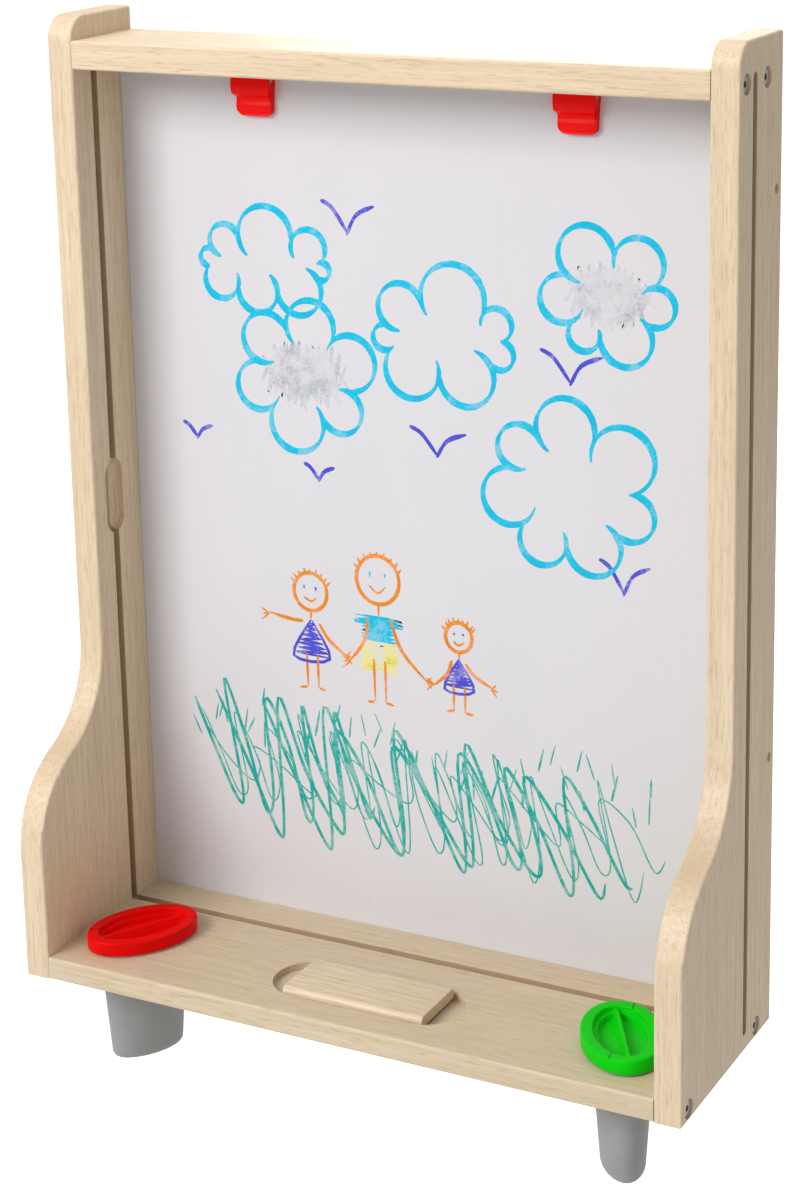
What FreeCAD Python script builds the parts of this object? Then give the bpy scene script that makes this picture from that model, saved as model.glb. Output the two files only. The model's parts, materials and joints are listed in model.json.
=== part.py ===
import FreeCAD, Part
import math
import os

import Sketcher

# Kids' easel that hangs by its back edge. X runs to the right, Y to the back, Z up.
# The origin is the middle of the tray's back face, at the height of its underside plus half its thickness.

Vector = FreeCAD.Vector
LEFT, RIGHT = -1, 1
SIDE_NAMES = {LEFT: "left", RIGHT: "right"}

SIZES = {
    # frame
    "frame_width": 488,
    "panel_height": 656,
    "upper_depth": 72,
    "foot_depth": 156,
    "panel_thick": 19,
    "rail_thick": 19,
    "rail_drop": 16,
    "tray_thick": 16,
    "top_round": 16,
    "curve_start": 218,
    "hollow_radius": 70,
    "belly_radius": 67,
    "edge_round": 1.8,
    # board and the grooves that hold it
    "board_thick": 3,
    "board_setback": 12.2,
    "board_play": 0.4,
    "board_end_gap": 0.5,
    "board_groove_depth": 6,
    # front slot for a spare board
    "slot_setback": 47,
    "slot_width": 7,
    "slot_depth": 6,
    "rail_slot_depth": 12,
    "tray_slot_depth": 4.7,
    # finger notch beside the front slot
    "notch_width": 21,
    "notch_length": 53,
    "notch_depth": 7.5,
    "notch_floor_round": 4.5,
    "notch_height": 320,
    # connector bolts and barrel nuts
    "bolt_dia": 6,
    "bolt_head_dia": 11,
    "bolt_head_thick": 3.6,
    "bolt_key_width": 4,
    "bolt_key_depth": 2.6,
    "bolt_hole_gap": 0.3,
    "bolt_reach": 30,
    "bolt_overrun": 7,
    "bolt_recess_dia": 13.4,
    "bolt_recess_depth": 5,
    "nut_dia": 10,
    "nut_length": 12,
    "nut_hole_gap": 0.1,
    "nut_bore_gap": 0.05,
    "nut_slot_width": 1.6,
    "nut_slot_depth": 1.5,
    "top_front_bolt_setback": 61,
    "top_rear_bolt_setback": 26,
    "low_front_bolt_setback": 144,
    "low_rear_bolt_setback": 25.5,
    # fixing holes in the back edges
    "fixing_dia": 6.5,
    "fixing_setback": 7.5,
    "fixing_low": 189.5,
    "fixing_drop": 96,
    # eraser and its recess
    "recess_length": 140,
    "recess_width": 52,
    "recess_depth": 5,
    "recess_setback": 107,
    "eraser_side_gap": 1.75,
    "eraser_corner_gap": 0.3,
    "eraser_thick": 8,
    "eraser_long_round": 4,
    "eraser_round": 1,
    "felt_end_inset": 1,
    "felt_width": 39,
    "felt_thick": 1.5,
    # hanging cups
    "cup_offset": 182,
    "cup_setback": 102,
    "cup_turn": 60,
    "cup_half_long": 32.8,
    "cup_half_short": 20.4,
    "cup_draft": 4.1,
    "cup_depth": 84,
    "cup_wall": 1.6,
    "cup_floor": 2,
    "cup_base_round_most": 5,
    "cup_base_round_share": 0.7,
    "cup_hole_gap": 0.5,
    "flange_width": 6.2,
    "flange_thick": 1.3,
    # lids
    "lid_overlap_long": 2,
    "lid_overlap_short": 0.4,
    "lid_height": 10,
    "lid_rim": 8,
    "lid_ledge_drop": 3.4,
    "lid_ledge": 3.2,
    "lid_floor_drop": 7.4,
    "lid_round": 1.1,
    "bar_ridge": 2.4,
    "bar_slope": 22,
    "bar_drop": 1.6,
    "mark_width": 1.2,
    "mark_depth": 0.6,
    "mark_turn": 20,
    "plug_gap": 0.7,
    "plug_wall": 1.6,
    "plug_depth": 5,
    # paper clips
    "clip_offset": 117,
    "clip_width": 28.5,
    "clip_plate_thick": 2.5,
    "clip_plate_reach": 23,
    "clip_board_gap": 0.6,
    "pin_dia": 3,
    "pin_hole_gap": 0.06,
    "barrel_dia": 10,
    "barrel_gap": 0.3,
    "barrel_top_gap": 1,
    "barrel_wall": 1.5,
    "cheek_thick": 2.2,
    "ear_thick": 2.5,
    "ear_gap": 0.3,
    "ear_dia": 6,
    "jaw_drop": 24.5,
    "jaw_thick": 3,
    "jaw_board_gap": 0.3,
    "jaw_bulge": 1.2,
    "jaw_bend": 3,
    "jaw_lip": 1.6,
    "jaw_corner": 5,
    "pin_inset": 0.3,
    "coil_mean_dia": 4.9,
    "wire_dia": 0.8,
    "coil_turns": 8,
    "coil_pitch": 1.05,
    "spring_low_leg": 1.4,
    "spring_leg_gap": 0.1,
    "clip_screw_dia": 3.4,
    "clip_screw_head_dia": 6.6,
    "clip_screw_length": 14,
    "clip_screw_spread": 8,
    "clip_screw_inset": 5,
    "clip_screw_gap": 0.1,
    "screw_recess_length": 4,
    "screw_recess_width": 0.9,
    "screw_recess_depth": 1,
}

# Sizes that follow from the ones above, kept in the same sheet.
DERIVED = {
    "tray_mid": "tray_thick / 2",
    "inner_half": "frame_width / 2 - panel_thick",
    "rail_top": "panel_height - rail_drop",
    "rail_under": "rail_top - rail_thick",
    "rail_mid": "rail_under + rail_thick / 2",
    "board_front": "board_setback + board_thick",
    "board_foot": "tray_thick - board_groove_depth + 1",
    "slot_low": "tray_thick - tray_slot_depth",
    "slot_high": "rail_under + rail_slot_depth + slot_width / 2",
    "recess_floor": "tray_thick - recess_depth",
    "nut_reach": "inner_half - bolt_reach",
    "bolt_shank": "panel_thick - bolt_recess_depth + bolt_reach + bolt_overrun",
    "barrel_radius": "barrel_dia / 2",
    "pin_setback": "board_front + barrel_gap + barrel_radius",
    "pin_height": "rail_under - clip_plate_thick - barrel_top_gap - barrel_radius",
    "clip_back": "board_front + clip_board_gap",
    "clip_screw_setback": "clip_back + clip_plate_reach - clip_screw_inset",
    "eraser_width": "recess_width - 2 * eraser_side_gap",
    "eraser_overrun": "sqrt((recess_width / 2 - eraser_corner_gap) ^ 2 - (eraser_width / 2) ^ 2)",
    "eraser_length": "recess_length - recess_width + 2 * eraser_overrun",
    "felt_length": "eraser_length - 2 * felt_end_inset",
    "cup_foot_inset": "cup_depth * tan(cup_draft)",
    "cup_foot_curve": "(cup_half_short - cup_foot_inset) ^ 2 / (cup_half_long - cup_foot_inset)",
    "cup_base_round": "min(cup_base_round_most; cup_base_round_share * cup_foot_curve)",
    "lid_half_long": "cup_half_long + flange_width + lid_overlap_long",
    "lid_half_short": "cup_half_short + flange_width + lid_overlap_short",
    "lid_seat": "tray_thick + flange_thick",
}

doc = FreeCAD.newDocument("KidsEasel")
sheet = doc.addObject("Spreadsheet::Sheet", "sizes")
parts = []


def fill_sheet():
    """Writes every driving size and every derived size as a named cell."""
    row = 1
    for name, value in SIZES.items():
        sheet.set(f"A{row}", name)
        sheet.set(f"B{row}", str(value))
        sheet.setAlias(f"B{row}", name)
        row += 1
    doc.recompute()
    for name, formula in DERIVED.items():
        sheet.set(f"A{row}", name)
        sheet.set(f"B{row}", "=" + formula)
        sheet.setAlias(f"B{row}", name)
        doc.recompute()
        row += 1


def cells(formula):
    """Turns a formula in plain size names into one that reads the sheet."""
    names = sorted(list(SIZES) + list(DERIVED), key=len, reverse=True)
    words = []
    word = ""
    for letter in formula + " ":
        if letter.isalnum() or letter == "_":
            word += letter
            continue
        words.append("sizes." + word if word in names else word)
        words.append(letter)
        word = ""
    return "".join(words).strip()


def value(formula):
    """The number that a formula in size names comes to."""
    return float(sheet.evalExpression(cells(formula)))


def bind(thing, prop, formula):
    thing.setExpression(prop, cells(formula))


def recompute_and_check(thing):
    doc.recompute()
    if "Invalid" in thing.State or "Error" in thing.State:
        raise RuntimeError(f"{thing.Name} could not be made")


# ---------------------------------------------------------------- sketches

def origin_plane(body, role):
    return [item for item in body.Origin.OriginFeatures if item.Role == role][0]


def new_sketch(body, role, offset="0"):
    """A sketch on one of the body's own planes, moved along the plane's normal by offset."""
    sketch = body.newObject("Sketcher::SketchObject", "outline")
    sketch.AttachmentSupport = (origin_plane(body, role), [""])
    sketch.MapMode = "FlatFace"
    if offset != "0":
        bind(sketch, "AttachmentOffset.Base.z", offset)
    return sketch


def hold(sketch, kind, ends, formula):
    """Adds a dimension and ties it to the sheet."""
    index = sketch.addConstraint(Sketcher.Constraint(kind, *ends, value(formula)))
    name = f"held{index}"
    sketch.renameConstraint(index, name)
    bind(sketch, "Constraints." + name, formula)


def pin_point(sketch, item, end, across, up):
    """Fixes a point of a sketch item at two formulas from the sketch's origin."""
    if across == "0":
        sketch.addConstraint(Sketcher.Constraint("PointOnObject", item, end, -2))
    else:
        hold(sketch, "DistanceX", (-1, 1, item, end), across)
    if up == "0":
        sketch.addConstraint(Sketcher.Constraint("PointOnObject", item, end, -1))
    else:
        hold(sketch, "DistanceY", (-1, 1, item, end), up)


def polygon(sketch, corners):
    """A closed outline whose corners are pairs of formulas."""
    points = [Vector(value(across), value(up), 0) for across, up in corners]
    first = sketch.GeometryCount
    for start, end in zip(points, points[1:] + points[:1]):
        sketch.addGeometry(Part.LineSegment(start, end), False)
    count = len(points)
    for step in range(count):
        following = first + (step + 1) % count
        sketch.addConstraint(Sketcher.Constraint("Coincident", first + step, 2, following, 1))
    for step, (across, up) in enumerate(corners):
        pin_point(sketch, first + step, 1, across, up)


def rectangle(sketch, low_across, low_up, high_across, high_up):
    polygon(sketch, [
        (low_across, low_up),
        (high_across, low_up),
        (high_across, high_up),
        (low_across, high_up),
    ])


def circle(sketch, across, up, radius):
    middle = Vector(value(across), value(up), 0)
    item = sketch.addGeometry(Part.Circle(middle, Vector(0, 0, 1), value(radius)), False)
    hold(sketch, "Radius", (item,), radius)
    pin_point(sketch, item, 3, across, up)


def ellipse(sketch, across, up, half_long, half_short, turn):
    """An ellipse whose long axis is turned from the sketch's own X axis."""
    middle = Vector(value(across), value(up), 0)
    angle = math.radians(value(turn))
    long_axis = Vector(math.cos(angle), math.sin(angle), 0)
    short_axis = Vector(-math.sin(angle), math.cos(angle), 0)
    long_tip = middle + long_axis * value(half_long)
    short_tip = middle + short_axis * value(half_short)
    curve = Part.Ellipse(long_tip, short_tip, middle)
    item = sketch.addGeometry(curve, False)
    sketch.exposeInternalGeometry(item)
    pin_point(sketch, item, 3, across, up)
    hold(sketch, "Distance", (item + 1,), f"2 * ({half_long})")
    hold(sketch, "Distance", (item + 2,), f"2 * ({half_short})")
    if turn == "0":
        sketch.addConstraint(Sketcher.Constraint("Horizontal", item + 1))
    else:
        index = sketch.addConstraint(Sketcher.Constraint("Angle", item + 1, angle))
        sketch.renameConstraint(index, f"turned{index}")
        bind(sketch, f"Constraints.turned{index}", f"({turn}) * 1 deg")


def stadium(sketch, across, up, length, width, upright):
    """A slot outline with half-round ends, centred on a point, along the sketch's X or Y axis."""
    reach = value(f"({length} - ({width})) / 2")
    radius = value(f"({width}) / 2")
    middle = Vector(value(across), value(up), 0)
    along = Vector(0, 1, 0) if upright else Vector(1, 0, 0)
    beside = Vector(1, 0, 0) if upright else Vector(0, -1, 0)
    far = middle + along * reach
    near = middle - along * reach
    outline = [
        Part.LineSegment(near + beside * radius, far + beside * radius),
        Part.Arc(far + beside * radius, far + along * radius, far - beside * radius),
        Part.LineSegment(far - beside * radius, near - beside * radius),
        Part.Arc(near - beside * radius, near - along * radius, near + beside * radius),
    ]
    first = sketch.GeometryCount
    for item in outline:
        sketch.addGeometry(item, False)
    line_a, arc_a, line_b, arc_b = range(first, first + 4)
    # an arc runs anticlockwise whichever way it was drawn, and so do these outlines
    for before, after in ((line_a, arc_a), (arc_a, line_b), (line_b, arc_b), (arc_b, line_a)):
        sketch.addConstraint(Sketcher.Constraint("Tangent", before, 2, after, 1))
    sketch.addConstraint(Sketcher.Constraint("Vertical" if upright else "Horizontal", line_a))
    hold(sketch, "Radius", (arc_a,), f"({width}) / 2")
    half = f"({length} - ({width})) / 2"
    if upright:
        pin_point(sketch, arc_a, 3, across, f"{up} + {half}")
        hold(sketch, "DistanceY", (-1, 1, arc_b, 3), f"{up} - {half}")
    else:
        pin_point(sketch, arc_a, 3, f"{across} + {half}" if across != "0" else half, up)
        far_across = f"-({half})" if across == "0" else f"{across} - {half}"
        hold(sketch, "DistanceX", (-1, 1, arc_b, 3), far_across)


# ---------------------------------------------------------------- features

def new_body(label):
    body = doc.addObject("PartDesign::Body", label)
    body.Label = label
    doc.recompute()
    parts.append(body)
    return body


def pad(body, sketch, length, both_ways=False, slope=None, flipped=False):
    feature = body.newObject("PartDesign::Pad", "pad")
    feature.Profile = sketch
    bind(feature, "Length", length)
    feature.Midplane = both_ways
    feature.Reversed = flipped
    if slope:
        bind(feature, "TaperAngle", slope)
    recompute_and_check(feature)
    return feature


def pocket(body, sketch, depth, both_ways=False, slope=None, flipped=False):
    """Cuts a pocket, and refuses one that takes nothing away."""
    before = body.Shape.Volume
    feature = body.newObject("PartDesign::Pocket", "pocket")
    feature.Profile = sketch
    bind(feature, "Length", depth)
    feature.Midplane = both_ways
    feature.Reversed = flipped
    if slope:
        bind(feature, "TaperAngle", slope)
    recompute_and_check(feature)
    if not feature.Shape.Volume < before - 0.01:
        raise RuntimeError(f"{body.Label}: a pocket cut nothing")
    return feature


def edges_where(shape, wanted):
    return [f"Edge{number}" for number, edge in enumerate(shape.Edges, 1) if wanted(edge)]


def round_edges(body, wanted, radius):
    base = body.Tip
    feature = body.newObject("PartDesign::Fillet", "rounding")
    feature.Base = (base, edges_where(base.Shape, wanted))
    bind(feature, "Radius", radius)
    recompute_and_check(feature)


def near(number, target):
    return abs(number - target) < 1e-3


def lies_at(edge, axis, spot):
    """Whether the whole edge lies in a plane across the given axis."""
    return all(near(getattr(point, axis), spot) for point in edge.discretize(5))


def runs_along(edge, axis):
    """Whether the edge is straight and parallel to the given axis."""
    first, last = edge.valueAt(edge.FirstParameter), edge.valueAt(edge.LastParameter)
    return near(abs(getattr(last - first, axis)), edge.Length)


def place(thing, across, back, up):
    """Moves a finished body to its place in the frame; the frame's Z starts at the tray's middle."""
    bind(thing, "Placement.Base.x", across)
    bind(thing, "Placement.Base.y", back)
    bind(thing, "Placement.Base.z", up)


def turn(thing, axis, degrees):
    base = thing.Placement.Base
    thing.Placement = FreeCAD.Placement(base, FreeCAD.Rotation(axis, degrees))


# ---------------------------------------------------------------- side panels

def panel_outline(sketch):
    """The side view of a panel: straight back, rounded top corner, and an S from two tangent arcs."""
    upper, foot, height = value("upper_depth"), value("foot_depth"), value("panel_height")
    hollow, belly, corner = value("hollow_radius"), value("belly_radius"), value("top_round")
    curve_top = value("curve_start")
    swing = math.acos(1 - (foot - upper) / (hollow + belly))
    curve_low = curve_top - (hollow + belly) * math.sin(swing)
    belly_middle = Vector(belly - foot, curve_low, 0)
    hollow_middle = Vector(-upper - hollow, curve_top, 0)
    corner_middle = Vector(corner - upper, height - corner, 0)
    bend = Vector(hollow_middle.x + hollow * math.cos(swing), curve_top - hollow * math.sin(swing), 0)
    up = Vector(0, 0, 1)
    outline = [
        Part.LineSegment(Vector(0, 0, 0), Vector(-foot, 0, 0)),
        Part.LineSegment(Vector(-foot, 0, 0), Vector(-foot, curve_low, 0)),
        Part.ArcOfCircle(Part.Circle(belly_middle, up, belly), math.pi - swing, math.pi),
        Part.ArcOfCircle(Part.Circle(hollow_middle, up, hollow), -swing, 0),
        Part.LineSegment(Vector(-upper, curve_top, 0), Vector(-upper, height - corner, 0)),
        Part.ArcOfCircle(Part.Circle(corner_middle, up, corner), math.pi / 2, math.pi),
        Part.LineSegment(Vector(corner - upper, height, 0), Vector(0, height, 0)),
        Part.LineSegment(Vector(0, height, 0), Vector(0, 0, 0)),
    ]
    for item in outline:
        sketch.addGeometry(item, False)
    floor, front, belly_arc, hollow_arc, upper_front, corner_arc, top, back = range(len(outline))
    joins = [
        ("Coincident", floor, 2, front, 1),
        ("Tangent", front, 2, belly_arc, 2),
        ("Tangent", belly_arc, 1, hollow_arc, 1),
        ("Tangent", hollow_arc, 2, upper_front, 1),
        ("Tangent", upper_front, 2, corner_arc, 2),
        ("Tangent", corner_arc, 1, top, 1),
        ("Coincident", top, 2, back, 1),
        ("Coincident", back, 2, floor, 1),
        ("Coincident", floor, 1, -1, 1),
        ("Horizontal", floor),
        ("Vertical", front),
        ("Vertical", upper_front),
        ("Horizontal", top),
        ("Vertical", back),
    ]
    for join in joins:
        sketch.addConstraint(Sketcher.Constraint(*join))
    hold(sketch, "DistanceX", (-1, 1, floor, 2), "-foot_depth")
    hold(sketch, "DistanceX", (-1, 1, upper_front, 1), "-upper_depth")
    hold(sketch, "DistanceY", (-1, 1, top, 1), "panel_height")
    hold(sketch, "DistanceY", (-1, 1, upper_front, 1), "curve_start")
    hold(sketch, "Radius", (belly_arc,), "belly_radius")
    hold(sketch, "Radius", (hollow_arc,), "hollow_radius")
    hold(sketch, "Radius", (corner_arc,), "top_round")


BOLT_SPOTS = {
    "top_front": ("-top_front_bolt_setback", "rail_mid"),
    "top_rear": ("-top_rear_bolt_setback", "rail_mid"),
    "low_front": ("-low_front_bolt_setback", "tray_mid"),
    "low_rear": ("-low_rear_bolt_setback", "tray_mid"),
}


def side_panel(side):
    """A panel between its inner face, which the rail and tray butt against, and its outer face."""
    body = new_body("side_panel_" + SIDE_NAMES[side])
    inner, outer = ("panel_thick", "0") if side == LEFT else ("0", "panel_thick")
    from_inner = side == RIGHT
    outline = new_sketch(body, "YZ_Plane")
    panel_outline(outline)
    pad(body, outline, "panel_thick")
    thick = value("panel_thick")
    round_edges(body, lambda edge: (lies_at(edge, "x", 0) or lies_at(edge, "x", thick))
                and not lies_at(edge, "y", 0), "edge_round")

    board_groove = new_sketch(body, "YZ_Plane", inner)
    rectangle(board_groove, "-board_front - board_play", "board_foot",
              "-board_setback + board_play", "rail_under + board_groove_depth")
    pocket(body, board_groove, "board_groove_depth", flipped=from_inner)

    if side == LEFT:
        finger_notch(body)
    slot = new_sketch(body, "YZ_Plane", inner)
    stadium(slot, "-slot_setback", "(slot_low + slot_high) / 2", "slot_high - slot_low", "slot_width", True)
    pocket(body, slot, "slot_depth" if side == LEFT else "panel_thick", flipped=from_inner)

    recesses = new_sketch(body, "YZ_Plane", outer)
    holes = new_sketch(body, "YZ_Plane", outer)
    for back, up in BOLT_SPOTS.values():
        circle(recesses, back, up, "bolt_recess_dia / 2")
        circle(holes, back, up, "bolt_dia / 2 + bolt_hole_gap")
    circle(holes, "-fixing_setback", "fixing_low", "fixing_dia / 2")
    circle(holes, "-fixing_setback", "panel_height - fixing_drop", "fixing_dia / 2")
    pocket(body, recesses, "bolt_recess_depth", flipped=not from_inner)
    pocket(body, holes, "panel_thick", flipped=not from_inner)
    place(body, "-frame_width / 2" if side == LEFT else "inner_half", "0", "-tray_mid")


def finger_notch(body):
    """A scooped thumb notch over the blind slot, for pushing a spare board out."""
    notch = new_sketch(body, "YZ_Plane", "panel_thick")
    stadium(notch, "-slot_setback", "notch_height", "notch_length", "notch_width", True)
    pocket(body, notch, "notch_depth")
    floor = value("panel_thick - notch_depth")
    round_edges(body, lambda edge: lies_at(edge, "x", floor) and edge.Length > value("notch_width") / 2
                and edge.BoundBox.ZMax < value("notch_height + notch_length"), "notch_floor_round")


# ---------------------------------------------------------------- rail and tray

def bolt_bores(body, spots, level):
    """Lengthwise bores for the bolts from both ends, and upright holes from below for the barrel nuts."""
    shafts = new_sketch(body, "YZ_Plane", "-inner_half")
    far_shafts = new_sketch(body, "YZ_Plane", "inner_half")
    nuts = new_sketch(body, "XY_Plane")
    for spot in spots:
        back = BOLT_SPOTS[spot][0]
        circle(shafts, back, level, "bolt_dia / 2 + bolt_hole_gap")
        circle(far_shafts, back, level, "bolt_dia / 2 + bolt_hole_gap")
        for across in ("-nut_reach", "nut_reach"):
            circle(nuts, across, back, "nut_dia / 2 + nut_hole_gap")
    depth = "bolt_reach + bolt_overrun + bolt_hole_gap"
    pocket(body, shafts, depth, flipped=True)
    pocket(body, far_shafts, depth)
    pocket(body, nuts, f"{level} + nut_length / 2 + nut_hole_gap", flipped=True)


def top_rail():
    body = new_body("top_rail")
    plank = new_sketch(body, "XY_Plane")
    rectangle(plank, "-inner_half", "-upper_depth", "inner_half", "0")
    pad(body, plank, "rail_thick")
    front = -value("upper_depth")
    round_edges(body, lambda edge: lies_at(edge, "y", front) and edge.Length > value("inner_half"),
                "edge_round")
    for near_face, far_face, depth in (
        ("-board_front - board_play", "-board_setback + board_play", "board_groove_depth"),
        ("-slot_setback - slot_width / 2", "-slot_setback + slot_width / 2", "rail_slot_depth"),
    ):
        groove = new_sketch(body, "XY_Plane")
        rectangle(groove, "-inner_half", near_face, "inner_half", far_face)
        pocket(body, groove, depth, flipped=True)
    bolt_bores(body, ("top_front", "top_rear"), "rail_thick / 2")
    pilots = new_sketch(body, "XY_Plane")
    for side in ("-", ""):
        for spread in ("-", "+"):
            circle(pilots, f"{side}clip_offset {spread} clip_screw_spread", "-clip_screw_setback",
                   "clip_screw_dia / 2 + clip_screw_gap")
    pocket(body, pilots, "clip_screw_length - clip_plate_thick + clip_screw_gap", flipped=True)
    place(body, "0", "0", "rail_under - tray_mid")


def tray():
    body = new_body("tray")
    plank = new_sketch(body, "XY_Plane")
    rectangle(plank, "-inner_half", "-foot_depth", "inner_half", "0")
    pad(body, plank, "tray_thick")
    front = -value("foot_depth")
    round_edges(body, lambda edge: lies_at(edge, "y", front) and edge.Length > value("inner_half"),
                "edge_round")
    for near_face, far_face, floor in (
        ("-board_front - board_play", "-board_setback + board_play", "board_foot"),
        ("-slot_setback - slot_width / 2", "-slot_setback + slot_width / 2", "slot_low"),
    ):
        groove = new_sketch(body, "XY_Plane", "tray_thick")
        rectangle(groove, "-inner_half", near_face, "inner_half", far_face)
        pocket(body, groove, f"tray_thick - {floor}")
    recess = new_sketch(body, "XY_Plane", "tray_thick")
    stadium(recess, "0", "-recess_setback", "recess_length", "recess_width", False)
    pocket(body, recess, "recess_depth")
    bolt_bores(body, ("low_front", "low_rear"), "tray_mid")
    cup_holes = new_sketch(body, "XY_Plane")
    for across, angle in (("-cup_offset", "cup_turn"), ("cup_offset", "180 - cup_turn")):
        ellipse(cup_holes, across, "-cup_setback", "cup_half_long + cup_hole_gap",
                "cup_half_short + cup_hole_gap", angle)
    pocket(body, cup_holes, "tray_thick", flipped=True)
    place(body, "0", "0", "-tray_mid")


def dry_erase_board():
    """A thin stiff sheet that stands in the tray's groove and reaches into the other three."""
    body = new_body("dry_erase_board")
    reach = "inner_half + board_groove_depth - board_end_gap"
    outline = new_sketch(body, "XZ_Plane")
    top = "rail_under + board_groove_depth - board_end_gap"
    rectangle(outline, f"-({reach})", "board_foot", reach, top)
    pad(body, outline, "board_thick")
    place(body, "0", "-board_setback", "-tray_mid")


# ---------------------------------------------------------------- bolts and barrel nuts

def connector_bolt(side, spot):
    """A flat-headed bolt with a hex socket, made along its own Z axis with the head's top outwards."""
    body = new_body(f"bolt_{spot}_{SIDE_NAMES[side]}")
    shank = new_sketch(body, "XY_Plane")
    circle(shank, "0", "0", "bolt_dia / 2")
    pad(body, shank, "bolt_shank", flipped=True)
    head = new_sketch(body, "XY_Plane")
    circle(head, "0", "0", "bolt_head_dia / 2")
    pad(body, head, "bolt_head_thick")
    top = value("bolt_head_thick")
    round_edges(body, lambda edge: lies_at(edge, "z", top), "bolt_head_thick / 4")
    socket = new_sketch(body, "XY_Plane", "bolt_head_thick")
    key_corner = 1 / math.sqrt(3)
    half_side = key_corner / 2
    polygon(socket, [
        (f"bolt_key_width * {key_corner}", "0"),
        (f"bolt_key_width * {half_side}", "bolt_key_width / 2"),
        (f"-bolt_key_width * {half_side}", "bolt_key_width / 2"),
        (f"-bolt_key_width * {key_corner}", "0"),
        (f"-bolt_key_width * {half_side}", "-bolt_key_width / 2"),
        (f"bolt_key_width * {half_side}", "-bolt_key_width / 2"),
    ])
    pocket(body, socket, "bolt_key_depth")
    back, up = BOLT_SPOTS[spot]
    turn(body, Vector(0, 1, 0), 90 * side)
    seat = "frame_width / 2 - bolt_recess_depth"
    place(body, seat if side == RIGHT else f"-({seat})", back, f"{up} - tray_mid")


def barrel_nut(side, spot):
    """An upright cross dowel with a bore for the bolt and a screwdriver slot in its lower end."""
    body = new_body(f"nut_{spot}_{SIDE_NAMES[side]}")
    barrel = new_sketch(body, "XY_Plane")
    circle(barrel, "0", "0", "nut_dia / 2")
    pad(body, barrel, "nut_length", both_ways=True)
    bore = new_sketch(body, "YZ_Plane")
    circle(bore, "0", "0", "bolt_dia / 2 + nut_bore_gap")
    pocket(body, bore, "2 * nut_dia", both_ways=True)
    slot = new_sketch(body, "XY_Plane", "-nut_length / 2")
    rectangle(slot, "-nut_dia", "-nut_slot_width / 2", "nut_dia", "nut_slot_width / 2")
    pocket(body, slot, "nut_slot_depth", flipped=True)
    back, up = BOLT_SPOTS[spot]
    place(body, "nut_reach" if side == RIGHT else "-nut_reach", back, f"{up} - tray_mid")


# ---------------------------------------------------------------- eraser

def eraser():
    """A wooden block on a felt pad, both standing in the tray's recess."""
    block = new_body("eraser_block")
    outline = new_sketch(block, "XY_Plane")
    rectangle(outline, "-eraser_length / 2", "-eraser_width / 2", "eraser_length / 2", "eraser_width / 2")
    pad(block, outline, "eraser_thick")
    top, half = value("eraser_thick"), value("eraser_width / 2")
    round_edges(block, lambda edge: lies_at(edge, "z", top) and
                (lies_at(edge, "y", -half) or lies_at(edge, "y", half)), "eraser_long_round")
    end = value("eraser_length / 2")
    round_edges(block, lambda edge: lies_at(edge, "x", end) or lies_at(edge, "x", -end), "eraser_round")
    place(block, "0", "-recess_setback", "recess_floor + felt_thick - tray_mid")

    felt = new_body("eraser_felt")
    sheet_outline = new_sketch(felt, "XY_Plane")
    rectangle(sheet_outline, "-felt_length / 2", "eraser_width / 2 - eraser_round - felt_width",
              "felt_length / 2", "eraser_width / 2 - eraser_round")
    pad(felt, sheet_outline, "felt_thick")
    place(felt, "0", "-recess_setback", "recess_floor - tray_mid")


# ---------------------------------------------------------------- cups and lids

def oval(body, half_long, half_short, offset="0"):
    sketch = new_sketch(body, "XY_Plane", offset)
    ellipse(sketch, "0", "0", half_long, half_short, "0")
    return sketch


def cup(side):
    """A tapered oval cup that hangs by its flange; its own Z is zero at the tray's top."""
    body = new_body("cup_" + SIDE_NAMES[side])
    pad(body, oval(body, "cup_half_long", "cup_half_short"), "cup_depth", flipped=True, slope="-cup_draft")
    low = -value("cup_depth")
    round_edges(body, lambda edge: lies_at(edge, "z", low), "cup_base_round")
    pad(body, oval(body, "cup_half_long + flange_width", "cup_half_short + flange_width"), "flange_thick")
    mouth = oval(body, "cup_half_long - cup_wall", "cup_half_short - cup_wall", "flange_thick")
    pocket(body, mouth, "cup_depth + flange_thick - cup_floor", slope="-cup_draft")
    floor = value("cup_floor - cup_depth")
    round_edges(body, lambda edge: lies_at(edge, "z", floor), "cup_base_round - cup_wall")
    turn(body, Vector(0, 0, 1), value("cup_turn") if side == LEFT else value("180 - cup_turn"))
    place(body, "-cup_offset" if side == LEFT else "cup_offset", "-cup_setback", "tray_thick - tray_mid")


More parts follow.
